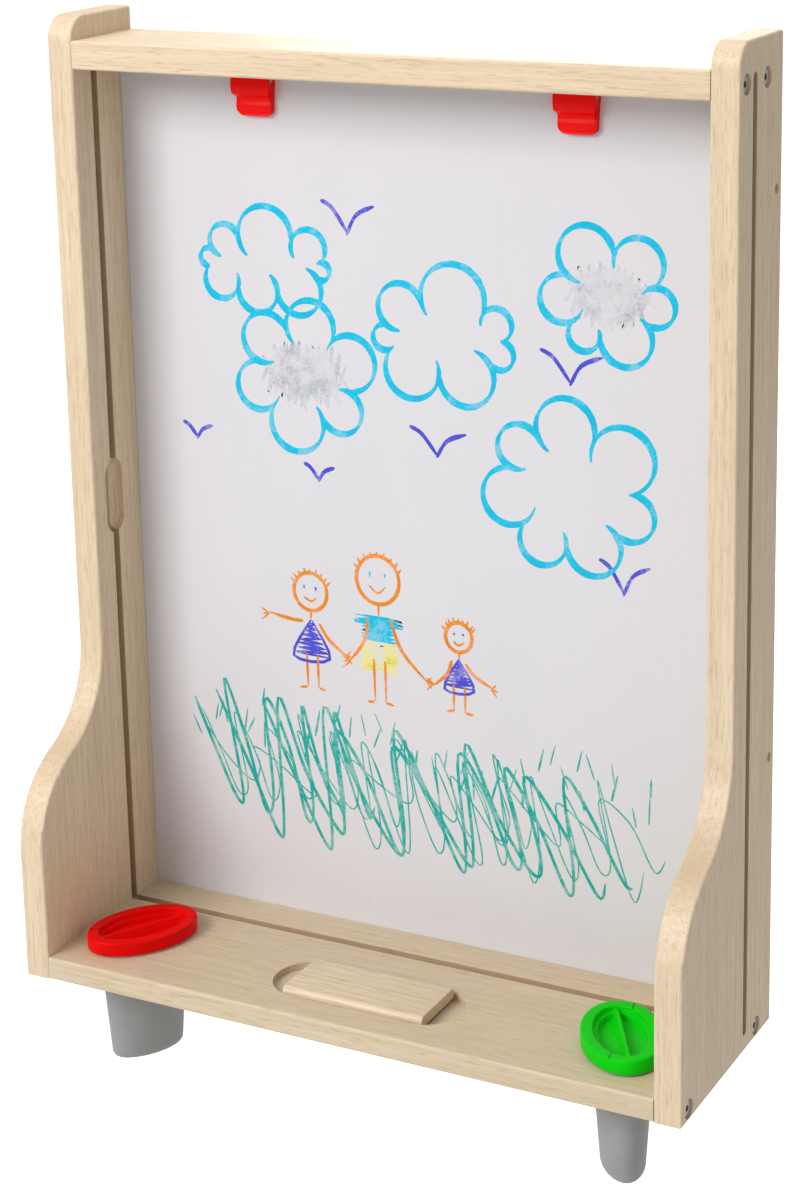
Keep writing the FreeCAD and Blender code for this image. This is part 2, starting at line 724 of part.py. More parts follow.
def lid(side):
    """An oval lid with a stepped finger well, a ridge to pinch, and a plug that drops into the cup."""
    body = new_body("lid_" + SIDE_NAMES[side])
    pad(body, oval(body, "lid_half_long", "lid_half_short"), "lid_height")
    top = value("lid_height")
    round_edges(body, lambda edge: lies_at(edge, "z", top), "lid_round")
    well = oval(body, "lid_half_long - lid_rim", "lid_half_short - lid_rim", "lid_height")
    pocket(body, well, "lid_ledge_drop")
    deep_well = oval(body, "lid_half_long - lid_rim - lid_ledge", "lid_half_short - lid_rim - lid_ledge",
                     "lid_height")
    pocket(body, deep_well, "lid_floor_drop")
    well_length = value("4 * (lid_half_long - lid_rim)")
    round_edges(body, lambda edge: lies_at(edge, "z", top) and edge.Length < well_length * 1.4, "lid_round")
    ridge_bar(body)
    plug = oval(body, "cup_half_long - cup_wall - plug_gap", "cup_half_short - cup_wall - plug_gap")
    pad(body, plug, "plug_depth", flipped=True)
    plug_hollow = oval(body, "cup_half_long - cup_wall - plug_gap - plug_wall",
                       "cup_half_short - cup_wall - plug_gap - plug_wall", "-plug_depth")
    pocket(body, plug_hollow, "plug_depth", flipped=True)
    rim_marks(body)
    turn(body, Vector(0, 0, 1), value("cup_turn") if side == LEFT else value("180 - cup_turn"))
    place(body, "-cup_offset" if side == LEFT else "cup_offset", "-cup_setback", "lid_seat - tray_mid")


def ridge_bar(body):
    """The pinch ridge along the long axis, narrow at its top and sloping out to the well's floor."""
    floor = "lid_height - lid_floor_drop"
    rise = "(lid_floor_drop - bar_drop)"
    half_foot = f"bar_ridge / 2 + {rise} * tan(bar_slope * 1 deg)"
    sketch = new_sketch(body, "YZ_Plane")
    polygon(sketch, [
        (f"-({half_foot})", floor),
        (half_foot, floor),
        ("bar_ridge / 2", f"{floor} + {rise}"),
        ("-bar_ridge / 2", f"{floor} + {rise}"),
    ])
    pad(body, sketch, "2 * (lid_half_long - lid_rim + lid_round)", both_ways=True)


def rim_marks(body):
    """Two shallow marks across the rim, a little off the ridge's line."""
    sketch = new_sketch(body, "XY_Plane", "lid_height")
    bind(sketch, "AttachmentOffset.Rotation.Angle", "-mark_turn * 1 deg")
    inner, outer = "lid_half_short - lid_rim - lid_round", "lid_half_long + lid_round"
    rectangle(sketch, inner, "-mark_width / 2", outer, "mark_width / 2")
    rectangle(sketch, f"-({outer})", "-mark_width / 2", f"-({inner})", "mark_width / 2")
    pocket(body, sketch, "mark_depth")


# ---------------------------------------------------------------- paper clips

def clip_base(side):
    """A plate screwed under the rail, with two ears that carry the pin; its own zero is the pin's axis."""
    body = new_body("clip_base_" + SIDE_NAMES[side])
    top = "barrel_radius + barrel_top_gap + clip_plate_thick"
    under = "barrel_radius + barrel_top_gap"
    back = "pin_setback - clip_back"
    plate = new_sketch(body, "XY_Plane", under)
    rectangle(plate, "-clip_width / 2", f"{back} - clip_plate_reach", "clip_width / 2", back)
    pad(body, plate, "clip_plate_thick")
    round_edges(body, lambda edge: runs_along(edge, "z"), "clip_plate_thick")
    inside = "clip_width / 2 - cheek_thick - ear_gap"
    for low, high in ((f"-({inside})", f"-({inside}) + ear_thick"), (f"{inside} - ear_thick", inside)):
        ear = new_sketch(body, "YZ_Plane", low)
        rectangle(ear, "0", "0", "ear_dia / 2", under)
        pad(body, ear, "ear_thick")
        knuckle = new_sketch(body, "YZ_Plane", low)
        circle(knuckle, "0", "0", "ear_dia / 2")
        pad(body, knuckle, "ear_thick")
    bore = new_sketch(body, "YZ_Plane")
    circle(bore, "0", "0", "pin_dia / 2 + pin_hole_gap")
    pocket(body, bore, "clip_width", both_ways=True)
    holes = new_sketch(body, "XY_Plane", top)
    for across in ("-clip_screw_spread", "clip_screw_spread"):
        circle(holes, across, "pin_setback - clip_screw_setback", "clip_screw_dia / 2 + clip_screw_gap")
    pocket(body, holes, "clip_plate_thick")
    low_z = value(under)
    base = body.Tip
    sink = body.newObject("PartDesign::Chamfer", "countersink")
    sink.Base = (base, edges_where(base.Shape, lambda edge: lies_at(edge, "z", low_z) and edge.isClosed()))
    bind(sink, "Size", "(clip_screw_head_dia - clip_screw_dia) / 2")
    recompute_and_check(sink)
    place_clip_piece(body, side)


def place_clip_piece(body, side):
    across = "-clip_offset" if side == LEFT else "clip_offset"
    place(body, across, "-pin_setback", "pin_height - tray_mid")


def clip_jaw(side):
    """The swinging jaw: a barrel open at its back for the ears and the coil, and a tab to the board."""
    body = new_body("clip_jaw_" + SIDE_NAMES[side])
    barrel = new_sketch(body, "YZ_Plane")
    circle(barrel, "0", "0", "barrel_radius")
    pad(body, barrel, "clip_width", both_ways=True)
    back = "pin_setback - board_front - jaw_board_gap"
    front = f"{back} - jaw_thick"
    tab = new_sketch(body, "YZ_Plane")
    polygon(tab, [
        ("0", "0"),
        ("-barrel_radius * 0.6", "-barrel_radius * 0.8"),
        (front, "-barrel_radius * 1.6"),
        (front, "-jaw_drop * 0.5"),
        (f"{front} - jaw_bulge", "-jaw_drop * 0.76"),
        (front, "-jaw_drop * 0.92"),
        (f"{front} - jaw_lip", "-jaw_drop"),
        (f"{back} - jaw_lip", "-jaw_drop"),
        (back, "-jaw_drop * 0.92"),
        (back, "-barrel_radius * 0.2"),
    ])
    pad(body, tab, "clip_width", both_ways=True)
    foot = value("-jaw_drop")
    round_edges(body, lambda edge: lies_at(edge, "z", foot) and runs_along(edge, "y"), "jaw_corner")
    waist = value("-barrel_radius * 1.5")
    low = value("-jaw_drop * 0.9")
    round_edges(body, lambda edge: runs_along(edge, "x") and low < edge.CenterOfMass.z < waist, "jaw_bend")
    cavity = "clip_width - 2 * cheek_thick"
    hollow = new_sketch(body, "YZ_Plane")
    circle(hollow, "0", "0", "barrel_radius - barrel_wall")
    pocket(body, hollow, cavity, both_ways=True)
    mouth = new_sketch(body, "YZ_Plane")
    polygon(mouth, [
        ("0", "0"),
        ("barrel_dia", "-barrel_dia * 0.18"),
        ("barrel_dia", "barrel_dia"),
        ("-barrel_dia", "barrel_dia"),
    ])
    pocket(body, mouth, cavity, both_ways=True)
    bore = new_sketch(body, "YZ_Plane")
    circle(bore, "0", "0", "pin_dia / 2 + pin_hole_gap")
    pocket(body, bore, "2 * clip_width", both_ways=True)
    place_clip_piece(body, side)


def clip_pin(side):
    body = new_body("clip_pin_" + SIDE_NAMES[side])
    outline = new_sketch(body, "YZ_Plane")
    circle(outline, "0", "0", "pin_dia / 2")
    pad(body, outline, "clip_width - 2 * pin_inset", both_ways=True)
    place_clip_piece(body, side)


def clip_spring(side):
    """A coil round the pin, made along its own Z axis, with one leg up to the plate and one down."""
    body = new_body("clip_spring_" + SIDE_NAMES[side])
    wire = new_sketch(body, "XZ_Plane")
    circle(wire, "coil_mean_dia / 2", "-coil_pitch * coil_turns / 2", "wire_dia / 2")
    coil = body.newObject("PartDesign::AdditiveHelix", "coil")
    coil.Profile = wire
    coil.ReferenceAxis = (wire, ["V_Axis"])
    coil.Mode = "pitch-turns-angle"
    bind(coil, "Pitch", "coil_pitch")
    bind(coil, "Turns", "coil_turns")
    recompute_and_check(coil)
    low_leg = new_sketch(body, "XZ_Plane")
    circle(low_leg, "coil_mean_dia / 2", "-coil_pitch * coil_turns / 2", "wire_dia / 2")
    pad(body, low_leg, "spring_low_leg")
    high_leg = new_sketch(body, "XZ_Plane")
    circle(high_leg, "coil_mean_dia / 2", "coil_pitch * coil_turns / 2", "wire_dia / 2")
    pad(body, high_leg, "barrel_radius + barrel_top_gap - spring_leg_gap", flipped=True)
    turn(body, Vector(1, 1, 1), 120)
    place_clip_piece(body, side)


def clip_screw(side, spread, where):
    """A countersunk wood screw driven up through the plate; its own zero is the plate's underside."""
    body = new_body(f"clip_screw_{where}_{SIDE_NAMES[side]}")
    outline = new_sketch(body, "XZ_Plane")
    sink = "(clip_screw_head_dia - clip_screw_dia) / 2"
    polygon(outline, [
        ("0", "0"),
        ("clip_screw_head_dia / 2", "0"),
        ("clip_screw_dia / 2", sink),
        ("clip_screw_dia / 2", "clip_screw_length - clip_screw_dia"),
        ("0", "clip_screw_length"),
    ])
    turned = body.newObject("PartDesign::Revolution", "turned")
    turned.Profile = outline
    turned.ReferenceAxis = (outline, ["V_Axis"])
    turned.Angle = 360
    recompute_and_check(turned)
    recess = new_sketch(body, "XY_Plane")
    arm, half = "screw_recess_length / 2", "screw_recess_width / 2"
    polygon(recess, [
        (arm, f"-{half}"),
        (arm, half),
        (half, half),
        (half, arm),
        (f"-{half}", arm),
        (f"-{half}", half),
        (f"-{arm}", half),
        (f"-{arm}", f"-{half}"),
        (f"-{half}", f"-{half}"),
        (f"-{half}", f"-{arm}"),
        (half, f"-{arm}"),
        (half, f"-{half}"),
    ])
    pocket(body, recess, "screw_recess_depth", flipped=True)
    offset = "-clip_offset" if side == LEFT else "clip_offset"
    place(body, f"{offset} {spread} clip_screw_spread", "-clip_screw_setback",
          "rail_under - clip_plate_thick - tray_mid")


def finish():
    """Checks every object and part, then writes each part to its own file."""
    doc.recompute()
    for thing in doc.Objects:
        if "Invalid" in thing.State or "Error" in thing.State:
            raise RuntimeError(f"{thing.Name} failed")
    os.makedirs("parts", exist_ok=True)
    for part in parts:
        shape = part.Shape
        if shape.isNull() or not shape.isValid():
            raise RuntimeError(f"{part.Label} has no valid shape")
        shape.exportStep(f"parts/{part.Label}.step")
        print(part.Label, len(shape.Solids), round(shape.Volume))


fill_sheet()
for side in (LEFT, RIGHT):
    side_panel(side)
top_rail()
tray()
dry_erase_board()
for side in (LEFT, RIGHT):
    for spot in BOLT_SPOTS:
        connector_bolt(side, spot)
        barrel_nut(side, spot)
eraser()
for side in (LEFT, RIGHT):
    cup(side)
    lid(side)
    clip_base(side)
    clip_jaw(side)
    clip_pin(side)
    clip_spring(side)
    clip_screw(side, "-", "outer" if side == LEFT else "inner")
    clip_screw(side, "+", "inner" if side == LEFT else "outer")
finish()
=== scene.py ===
# %% [markdown]
# A children's easel top: two S-curved wooden sides, a top rail, a tray with two lidded paint cups
# and a wooden eraser, a white wipe-clean board, and two red paper clips.
# The engineering model is loaded first. It is the fixed frame that every piece here is built around.

# %% Load the frame
import json
import math
import random

import bmesh
import bpy
from mathutils import Matrix, Vector


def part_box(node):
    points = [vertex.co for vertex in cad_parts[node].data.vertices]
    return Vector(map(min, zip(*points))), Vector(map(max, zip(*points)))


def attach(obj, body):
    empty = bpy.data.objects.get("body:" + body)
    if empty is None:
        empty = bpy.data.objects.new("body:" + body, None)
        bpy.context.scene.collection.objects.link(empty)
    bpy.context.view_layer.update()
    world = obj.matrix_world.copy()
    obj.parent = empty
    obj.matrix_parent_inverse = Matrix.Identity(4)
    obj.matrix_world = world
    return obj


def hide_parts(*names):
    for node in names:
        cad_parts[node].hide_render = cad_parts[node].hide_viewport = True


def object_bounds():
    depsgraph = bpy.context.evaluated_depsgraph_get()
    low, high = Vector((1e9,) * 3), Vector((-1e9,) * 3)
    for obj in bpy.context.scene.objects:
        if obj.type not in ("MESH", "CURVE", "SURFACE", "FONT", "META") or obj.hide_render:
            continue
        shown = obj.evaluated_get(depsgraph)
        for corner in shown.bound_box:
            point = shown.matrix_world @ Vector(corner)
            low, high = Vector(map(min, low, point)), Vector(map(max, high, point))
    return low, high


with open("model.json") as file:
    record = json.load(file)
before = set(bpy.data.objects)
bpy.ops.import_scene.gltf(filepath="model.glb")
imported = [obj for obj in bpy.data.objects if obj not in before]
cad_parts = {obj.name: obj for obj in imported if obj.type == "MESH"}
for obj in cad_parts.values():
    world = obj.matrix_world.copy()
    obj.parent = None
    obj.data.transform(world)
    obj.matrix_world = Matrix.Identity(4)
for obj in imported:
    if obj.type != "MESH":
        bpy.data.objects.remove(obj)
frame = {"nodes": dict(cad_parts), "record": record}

cad_low, cad_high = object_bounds()
MM = 0.001
print("frame box in mm:", [round(v / MM, 1) for v in cad_high - cad_low])

# %% [markdown]
# Many finishes share an effect, such as wood fibres or the faint unevenness of moulded plastic.
# Each effect is built once as a shader node group and placed in every material that needs it.
# These small helpers keep the node building short: one adds a node, with links or plain numbers in its
# sockets, one opens a new group with named sockets, and the rest each add one much used kind of node.

# %% Helpers for shader nodes
SOCKET_KINDS = {"vector": "NodeSocketVector", "value": "NodeSocketFloat", "color": "NodeSocketColor"}


def add_node(tree, kind, inputs=None, **settings):
    """Adds a shader node; inputs maps socket names or numbers to a value or to another node's output."""
    node = tree.nodes.new(kind)
    for name, setting in settings.items():
        setattr(node, name, setting)
    for socket, source in (inputs or {}).items():
        if isinstance(source, bpy.types.NodeSocket):
            tree.links.new(source, node.inputs[socket])
        else:
            node.inputs[socket].default_value = source
    return node


def use_group(tree, group, inputs):
    return add_node(tree, "ShaderNodeGroup", inputs, node_tree=group).outputs


def new_group(name, takes, gives):
    """A shader node group with named inputs (name, kind, default) and outputs (name, kind)."""
    tree = bpy.data.node_groups.new(name, "ShaderNodeTree")
    for label, kind, default in takes:
        socket = tree.interface.new_socket(label, in_out="INPUT", socket_type=SOCKET_KINDS[kind])
        if default is not None:
            socket.default_value = default
    for label, kind in gives:
        tree.interface.new_socket(label, in_out="OUTPUT", socket_type=SOCKET_KINDS[kind])
    entry = tree.nodes.new("NodeGroupInput")
    leave = tree.nodes.new("NodeGroupOutput")
    return tree, entry.outputs, leave.inputs


def math_node(tree, operation, first, second=0.0, clamp=False):
    sockets = {0: first, 1: second}
    return add_node(tree, "ShaderNodeMath", sockets, operation=operation, use_clamp=clamp).outputs[0]


def plus(tree, first, second, clamp=False):
    return math_node(tree, "ADD", first, second, clamp)


def times(tree, first, second):
    return math_node(tree, "MULTIPLY", first, second)


def span(tree, source, low, high, to_low=0.0, to_high=1.0):
    """Maps low..high of a value onto another range, and holds it there."""
    return add_node(tree, "ShaderNodeMapRange", {"Value": source, "From Min": low, "From Max": high,
                                                 "To Min": to_low, "To Max": to_high}).outputs["Result"]


def blend_colors(tree, amount, first, second, kind="MIX"):
    sockets = {"Factor": amount, 6: first, 7: second}
    return add_node(tree, "ShaderNodeMix", sockets, data_type="RGBA", blend_type=kind).outputs[2]


def stretched(tree, vector, scale, detail=3.0, roughness=0.55, distortion=0.0):
    """Noise whose grains are as long along each axis as scale is small there."""
    mapped = add_node(tree, "ShaderNodeMapping", {"Vector": vector, "Scale": scale})
    noise = add_node(tree, "ShaderNodeTexNoise", {
        "Vector": mapped.outputs[0], "Scale": 1.0, "Detail": detail, "Roughness": roughness,
        "Distortion": distortion})
    return noise.outputs["Fac"]


print("node helpers ready")

# %% [markdown]
# The wood is a pale close-grained hardwood under a clear satin lacquer. Real grain is a solid pattern:
# growth layers run the length of a plank, with fine fibres and short pores drawn out along them.
# So the group works in three dimensions on the plank's own coordinates, with the grain along X,
# and the faces cut across the fibres get a darker, speckled end-grain look.

# %% Wood grain group
wood_grain, takes, gives = new_group("wood_grain", [
    ("Vector", "vector", None),
    ("Across Cut", "value", 0.0),
    ("Pale", "color", (0.78, 0.63, 0.45, 1)),
    ("Deep", "color", (0.64, 0.48, 0.31, 1)),
    ("Layer Strength", "value", 0.16),
], [("Color", "color"), ("Roughness", "value"), ("Height", "value")])

tree, spot = wood_grain, takes["Vector"]
wander = stretched(tree, spot, (1.6, 9, 9), detail=2)
leaning = add_node(tree, "ShaderNodeMapping", {
    "Vector": spot, "Rotation": (0.02, 0.03, 0.02), "Scale": (0.16, 1, 1)}).outputs[0]
layers = add_node(tree, "ShaderNodeTexWave", {
    "Vector": leaning, "Scale": 42.0, "Distortion": 3.5, "Detail": 3.0, "Detail Scale": 1.2,
    "Detail Roughness": 0.55,
}, wave_type="BANDS", bands_direction="Y", wave_profile="SAW").outputs["Fac"]
fibres = stretched(tree, spot, (7, 420, 420), detail=4, roughness=0.62)
threads = stretched(tree, spot, (26, 1500, 1500), detail=2)
pores = span(tree, stretched(tree, spot, (75, 1300, 1300), detail=1), 0.60, 0.72)
dashes = span(tree, stretched(tree, spot, (48, 620, 620), detail=2), 0.56, 0.68)
speckle = span(tree, stretched(tree, spot, (500, 1700, 1700), detail=2), 0.45, 0.7)

layer_tone = times(tree, span(tree, layers, 0.15, 1.0), takes["Layer Strength"])
fibre_tone = span(tree, fibres, 0.36, 0.66, 0.0, 0.5)
wander_tone = span(tree, wander, 0.35, 0.7, 0.0, 0.18)
long_tone = plus(tree, plus(tree, layer_tone, fibre_tone), wander_tone, True)
DASH_BROWN, PORE_BROWN, END_BROWN = (0.50, 0.36, 0.21, 1), (0.34, 0.22, 0.12, 1), (0.36, 0.24, 0.14, 1)
toned = blend_colors(tree, long_tone, takes["Pale"], takes["Deep"])
dashed = blend_colors(tree, times(tree, dashes, 0.42), toned, DASH_BROWN)
pored = blend_colors(tree, times(tree, pores, 0.3), dashed, PORE_BROWN)
end_tone = blend_colors(tree, times(tree, speckle, 0.5), takes["Deep"], END_BROWN)
end_mix = times(tree, takes["Across Cut"], 0.62)
finished = blend_colors(tree, end_mix, pored, end_tone)
tree.links.new(finished, gives["Color"])
rough = plus(tree, span(tree, fibres, 0.3, 0.7, 0.40, 0.52),
             times(tree, takes["Across Cut"], 0.12))
tree.links.new(rough, gives["Roughness"])
raised = plus(tree, times(tree, fibres, 0.5), times(tree, threads, 0.25))
relief = math_node(tree, "SUBTRACT", raised, times(tree, pores, 0.5))
tree.links.new(relief, gives["Height"])
print("wood_grain group:", len(wood_grain.nodes), "nodes")

# %% [markdown]
# Moulded plastic and painted or plated metal are never quite even. Under the light they show a fine
# orange-peel skin, cloudy patches where fingers have been, and hairline scratches.
# One group gives all three: a tint that drifts a little, a roughness, and a height.

# %% Handled surface group
handled_skin, takes, gives = new_group("handled_skin", [
    ("Vector", "vector", None),
    ("Tint", "color", (0.5, 0.5, 0.5, 1)),
    ("Tint Drift", "value", 0.08),
    ("Base Roughness", "value", 0.3),
    ("Peel Size", "value", 700.0),
], [("Color", "color"), ("Roughness", "value"), ("Height", "value")])
tree, spot = handled_skin, takes["Vector"]
patches = stretched(tree, spot, (38, 38, 38), detail=3)
scratches_a = stretched(tree, spot, (60, 2600, 900), detail=1)
scratches_b = stretched(tree, spot, (2400, 50, 1100), detail=1)
hairlines = math_node(tree, "MAXIMUM", span(tree, scratches_a, 0.70, 0.76),
                      span(tree, scratches_b, 0.70, 0.76))
peel = add_node(tree, "ShaderNodeTexNoise", {
    "Vector": spot, "Scale": takes["Peel Size"], "Detail": 1.0}).outputs["Fac"]
drift = times(tree, span(tree, patches, 0.3, 0.7, -1.0, 1.0), takes["Tint Drift"])
lighter = add_node(tree, "ShaderNodeHueSaturation", {
    "Color": takes["Tint"], "Value": plus(tree, drift, 1.0)})
tree.links.new(lighter.outputs[0], gives["Color"])
patchy = span(tree, patches, 0.35, 0.7, -0.05, 0.07)
rough = plus(tree, takes["Base Roughness"], patchy)
rough = plus(tree, rough, times(tree, hairlines, 0.18), True)
tree.links.new(rough, gives["Roughness"])
relief = math_node(tree, "SUBTRACT", peel, times(tree, hairlines, 0.8))
tree.links.new(relief, gives["Height"])
print("handled_skin group:", len(handled_skin.nodes), "nodes")


# %% [markdown]
# A material is opened with its shader and its object coordinates, and closed with a bump node, because
# all of them need those. A wooden part says which way its fibres run; its coordinates are turned so
# that they run along X, and moved by a different amount for each plank so that no two look cut alike.
# The insides of the two board slots get a painted shade, a dark brown standing in for the shade in the cuts.

# %% Materials of wood
def new_material(name, settings):
    """A material whose shader has these plain settings, with its tree, shader and coordinates."""
    made = bpy.data.materials.new(name)
    made.use_nodes = True
    tree = made.node_tree
    tree.nodes.clear()
    shader = add_node(tree, "ShaderNodeBsdfPrincipled", settings)
    add_node(tree, "ShaderNodeOutputMaterial", {"Surface": shader.outputs[0]})
    return made, tree, shader, add_node(tree, "ShaderNodeTexCoord").outputs


def paint(tree, shader, color, roughness):
    tree.links.new(color, shader.inputs["Base Color"])
    tree.links.new(roughness, shader.inputs["Roughness"])


def add_bump(tree, shader, height, depth, strength=1.0):
    bump = add_node(tree, "ShaderNodeBump", {"Height": height, "Distance": depth, "Strength": strength})
    tree.links.new(bump.outputs[0], shader.inputs["Normal"])


TURN_TO_X = {"x": (0, 0, 0), "z": (0, math.radians(90), 0)}
# the dark brown of the painted shade inside the slots
SLOT_SHADE_BROWN = (0.30, 0.17, 0.08, 1)
LACQUER = {"Coat Weight": 0.08, "Coat Roughness": 0.3, "Specular IOR Level": 0.3}


def wood_material(name, fibres_along, shift, pale=(0.80, 0.655, 0.465, 1), deep=(0.645, 0.485, 0.315, 1),
                  painted_shade_bands=()):
    """Pale lacquered hardwood; each band is a slot cut into it, a box of (axis, low, high), given a painted
    shade.
    """
    made, tree, shader, place = new_material(name, LACQUER)
    turned = add_node(tree, "ShaderNodeMapping", {
        "Vector": place["Object"], "Location": shift, "Rotation": TURN_TO_X[fibres_along]})
    facing = add_node(tree, "ShaderNodeSeparateXYZ", {0: place["Normal"]}).outputs
    across = span(tree, math_node(tree, "ABSOLUTE", facing[fibres_along.upper()]), 0.6, 0.95)
    grain = use_group(tree, wood_grain, {
        "Vector": turned.outputs[0], "Across Cut": across, "Pale": pale, "Deep": deep})
    color = grain["Color"]
    if painted_shade_bands:
        spot = add_node(tree, "ShaderNodeSeparateXYZ", {0: place["Object"]}).outputs
        for band in painted_shade_bands:
            inside = 1.0
            for axis, low, high in band:
                limits = {0: spot[axis], 1: (low + high) / 2, 2: (high - low) / 2}
                within = add_node(tree, "ShaderNodeMath", limits, operation="COMPARE").outputs[0]
                inside = within if inside == 1.0 else times(tree, inside, within)
            # painted shade: inside each slot box the wood is blended towards dark brown, standing in for
            # shade in the narrow cut
            color = blend_colors(tree, times(tree, inside, 0.55), color, SLOT_SHADE_BROWN)
    paint(tree, shader, color, grain["Roughness"])
    add_bump(tree, shader, grain["Height"], 0.00012, 0.7)
    return made


rail_low, rail_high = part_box("top_rail")
tray_low, tray_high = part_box("tray")
board_low, board_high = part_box("dry_erase_board")
inner = rail_high.x
skin = 0.3 * MM
SLOT_PLAY, SPARE_HALF, SLOT_DEPTH = 0.45 * MM, 3.7 * MM, 18.6 * MM
slot_mount = [m for m in frame["record"]["mounts"] if m["name"] == "front_panel_slot"][0]
slot_middle, slot_height = slot_mount["pos_m"][1:]
slot_half = slot_mount["dims"]["length_mm"] / 2 * MM
board_slot = ("Y", board_low.y - SLOT_PLAY, board_high.y + SLOT_PLAY)
spare_slot = ("Y", slot_middle - SPARE_HALF, slot_middle + SPARE_HALF)


def panel_shade_bands(side):
    depth = ("X", *sorted((side * (inner + skin), side * (inner + SLOT_DEPTH))))
    return ((board_slot, depth, ("Z", board_low.z, board_high.z + MM)),
            (spare_slot, depth, ("Z", slot_height - slot_half, slot_height + slot_half)))


def plank_shade_bands(low, high):
    return ((board_slot, ("Z", low, high)), (spare_slot, ("Z", low, high)))


panel_woods = {
    -1: wood_material("panel_wood_left", "z", (0.31, 0.12, 0.05), painted_shade_bands=panel_shade_bands(-1)),
    1: wood_material("panel_wood_right", "z", (1.73, 0.44, 0.27), painted_shade_bands=panel_shade_bands(1)),
}
rail_wood = wood_material("rail_wood", "x", (0.4, 0.9, 0.33),
                          painted_shade_bands=plank_shade_bands(rail_low.z + skin, rail_high.z - MM))
# painted shade: the tray gets a darker copy of the panels' wood, standing in for the weaker light low down
tray_wood = wood_material("tray_wood", "x", (0.15, 0.2, 0.71), pale=(0.71, 0.585, 0.415, 1),
                          deep=(0.575, 0.435, 0.285, 1),
                          painted_shade_bands=plank_shade_bands(tray_low.z + MM, tray_high.z - skin))
eraser_wood = wood_material("eraser_wood", "x", (0.6, 0.5, 0.1), pale=(0.82, 0.68, 0.49, 1))
print("wood materials:", [m.name for m in bpy.data.materials if "wood" in m.name])

# %% [markdown]
# The other finishes. The board is smooth white melamine with faint smears of old ink. The cups are a
# frosted grey plastic that lets a little light in, so its shader scatters some of it below the surface.
# The lids and clips are satin and glossy plastic. The small hardware is bright zinc, drawn or turned.


# %% Materials of plastic, metal and felt
def skin_material(name, tint, roughness, drift, peel, settings):
    """Opens a material with the colour and roughness of the handled skin; gives the skin's height too."""
    made, tree, shader, place = new_material(name, settings)
    skin_out = use_group(tree, handled_skin, {
        "Vector": place["Object"], "Tint": tint, "Tint Drift": drift, "Base Roughness": roughness,
        "Peel Size": peel})
    paint(tree, shader, skin_out["Color"], skin_out["Roughness"])
    return made, tree, shader, skin_out["Height"]


def plastic_material(name, tint, roughness, gloss=0.2, drift=0.06, peel_depth=0.00003, scatter=0.0,
                     peel=700.0):
    settings = {"Specular IOR Level": gloss}
    if scatter:
        settings.update({"Subsurface Weight": scatter, "Subsurface Radius": (0.006, 0.006, 0.006),
                         "Subsurface Scale": 1.0})
    made, tree, shader, height = skin_material(name, tint, roughness, drift, peel, settings)
    add_bump(tree, shader, height, peel_depth, 0.5)
    return made


def metal_material(name, tint, roughness):
    made, tree, shader, height = skin_material(name, tint, roughness, 0.16, 900.0, {"Metallic": 1.0})
    add_bump(tree, shader, height, 0.00003, 0.6)
    return made


red_lid_plastic = plastic_material("red_lid_plastic", (0.80, 0.001, 0.001, 1), 0.42, gloss=0.08)
green_lid_plastic = plastic_material("green_lid_plastic", (0.003, 0.62, 0.005, 1), 0.42, gloss=0.08)
red_clip_plastic = plastic_material("red_clip_plastic", (1.0, 0.002, 0.002, 1), 0.36, gloss=0.13,
                                    peel_depth=0.00002)
frosted_plastic = plastic_material("frosted_plastic", (0.32, 0.32, 0.315, 1), 0.5, gloss=0.35, drift=0.05,
                                   scatter=0.35, peel=1500.0)
zinc = metal_material("zinc", (0.62, 0.61, 0.60, 1), 0.34)
spring_wire = metal_material("spring_wire", (0.50, 0.50, 0.52, 1), 0.28)


def board_material():
    made, tree, shader, place = new_material("white_melamine", {"Specular IOR Level": 0.4})
    smears = stretched(tree, place["Object"], (14, 14, 5), detail=4)
    specks = span(tree, stretched(tree, place["Object"], (900, 900, 900), detail=1), 0.70, 0.8)
    white, smeared = (0.70, 0.685, 0.715, 1), (0.665, 0.655, 0.69, 1)
    color = blend_colors(tree, span(tree, smears, 0.4, 0.75, 0.0, 0.5), white, smeared)
    color = blend_colors(tree, times(tree, specks, 0.15), color, (0.45, 0.45, 0.5, 1))
    paint(tree, shader, color, span(tree, smears, 0.3, 0.7, 0.26, 0.36))
    ripple = stretched(tree, place["Object"], (60, 60, 60), detail=2)
    add_bump(tree, shader, ripple, 0.0001, 0.15)
    return made


def felt_material():
    made, tree, shader, place = new_material("black_felt", {"Roughness": 0.95, "Sheen Weight": 0.4})
    fuzz = stretched(tree, place["Object"], (1400, 1400, 1400), detail=4, roughness=0.7)
    matted = stretched(tree, place["Object"], (90, 90, 90), detail=3)
    black, worn = (0.008, 0.008, 0.009, 1), (0.05, 0.05, 0.055, 1)
    color = blend_colors(tree, times(tree, fuzz, matted), black, worn)
    tree.links.new(color, shader.inputs["Base Color"])
    add_bump(tree, shader, fuzz, 0.0006, 1.0)
    return made


# Marker ink wiped on a slick white board never covers it evenly: it pools in patches and leaves streaks.
marker_ink, takes, gives = new_group("marker_ink", [
    ("Vector", "vector", None),
    ("Ink", "color", (0.1, 0.3, 0.6, 1)),
    ("Cover", "value", 0.5),
], [("Color", "color"), ("Roughness", "value"), ("Height", "value")])
tree, spot = marker_ink, takes["Vector"]
pools = stretched(tree, spot, (95, 95, 95), detail=3)
streaks = stretched(tree, spot, (520, 520, 520), detail=3, roughness=0.7)
both = plus(tree, times(tree, pools, 0.6), times(tree, streaks, 0.4))
cover = plus(tree, span(tree, both, 0.40, 0.62, -0.25, 0.45), takes["Cover"], True)
inked = blend_colors(tree, cover, (0.69, 0.68, 0.71, 1), takes["Ink"])
deeper = blend_colors(tree, 1.0, inked, (0.78, 0.86, 0.92, 1), "MULTIPLY")
pooled = blend_colors(tree, span(tree, both, 0.50, 0.62), inked, deeper)
tree.links.new(pooled, gives["Color"])
tree.links.new(span(tree, streaks, 0.3, 0.7, 0.3, 0.55), gives["Roughness"])
tree.links.new(streaks, gives["Height"])


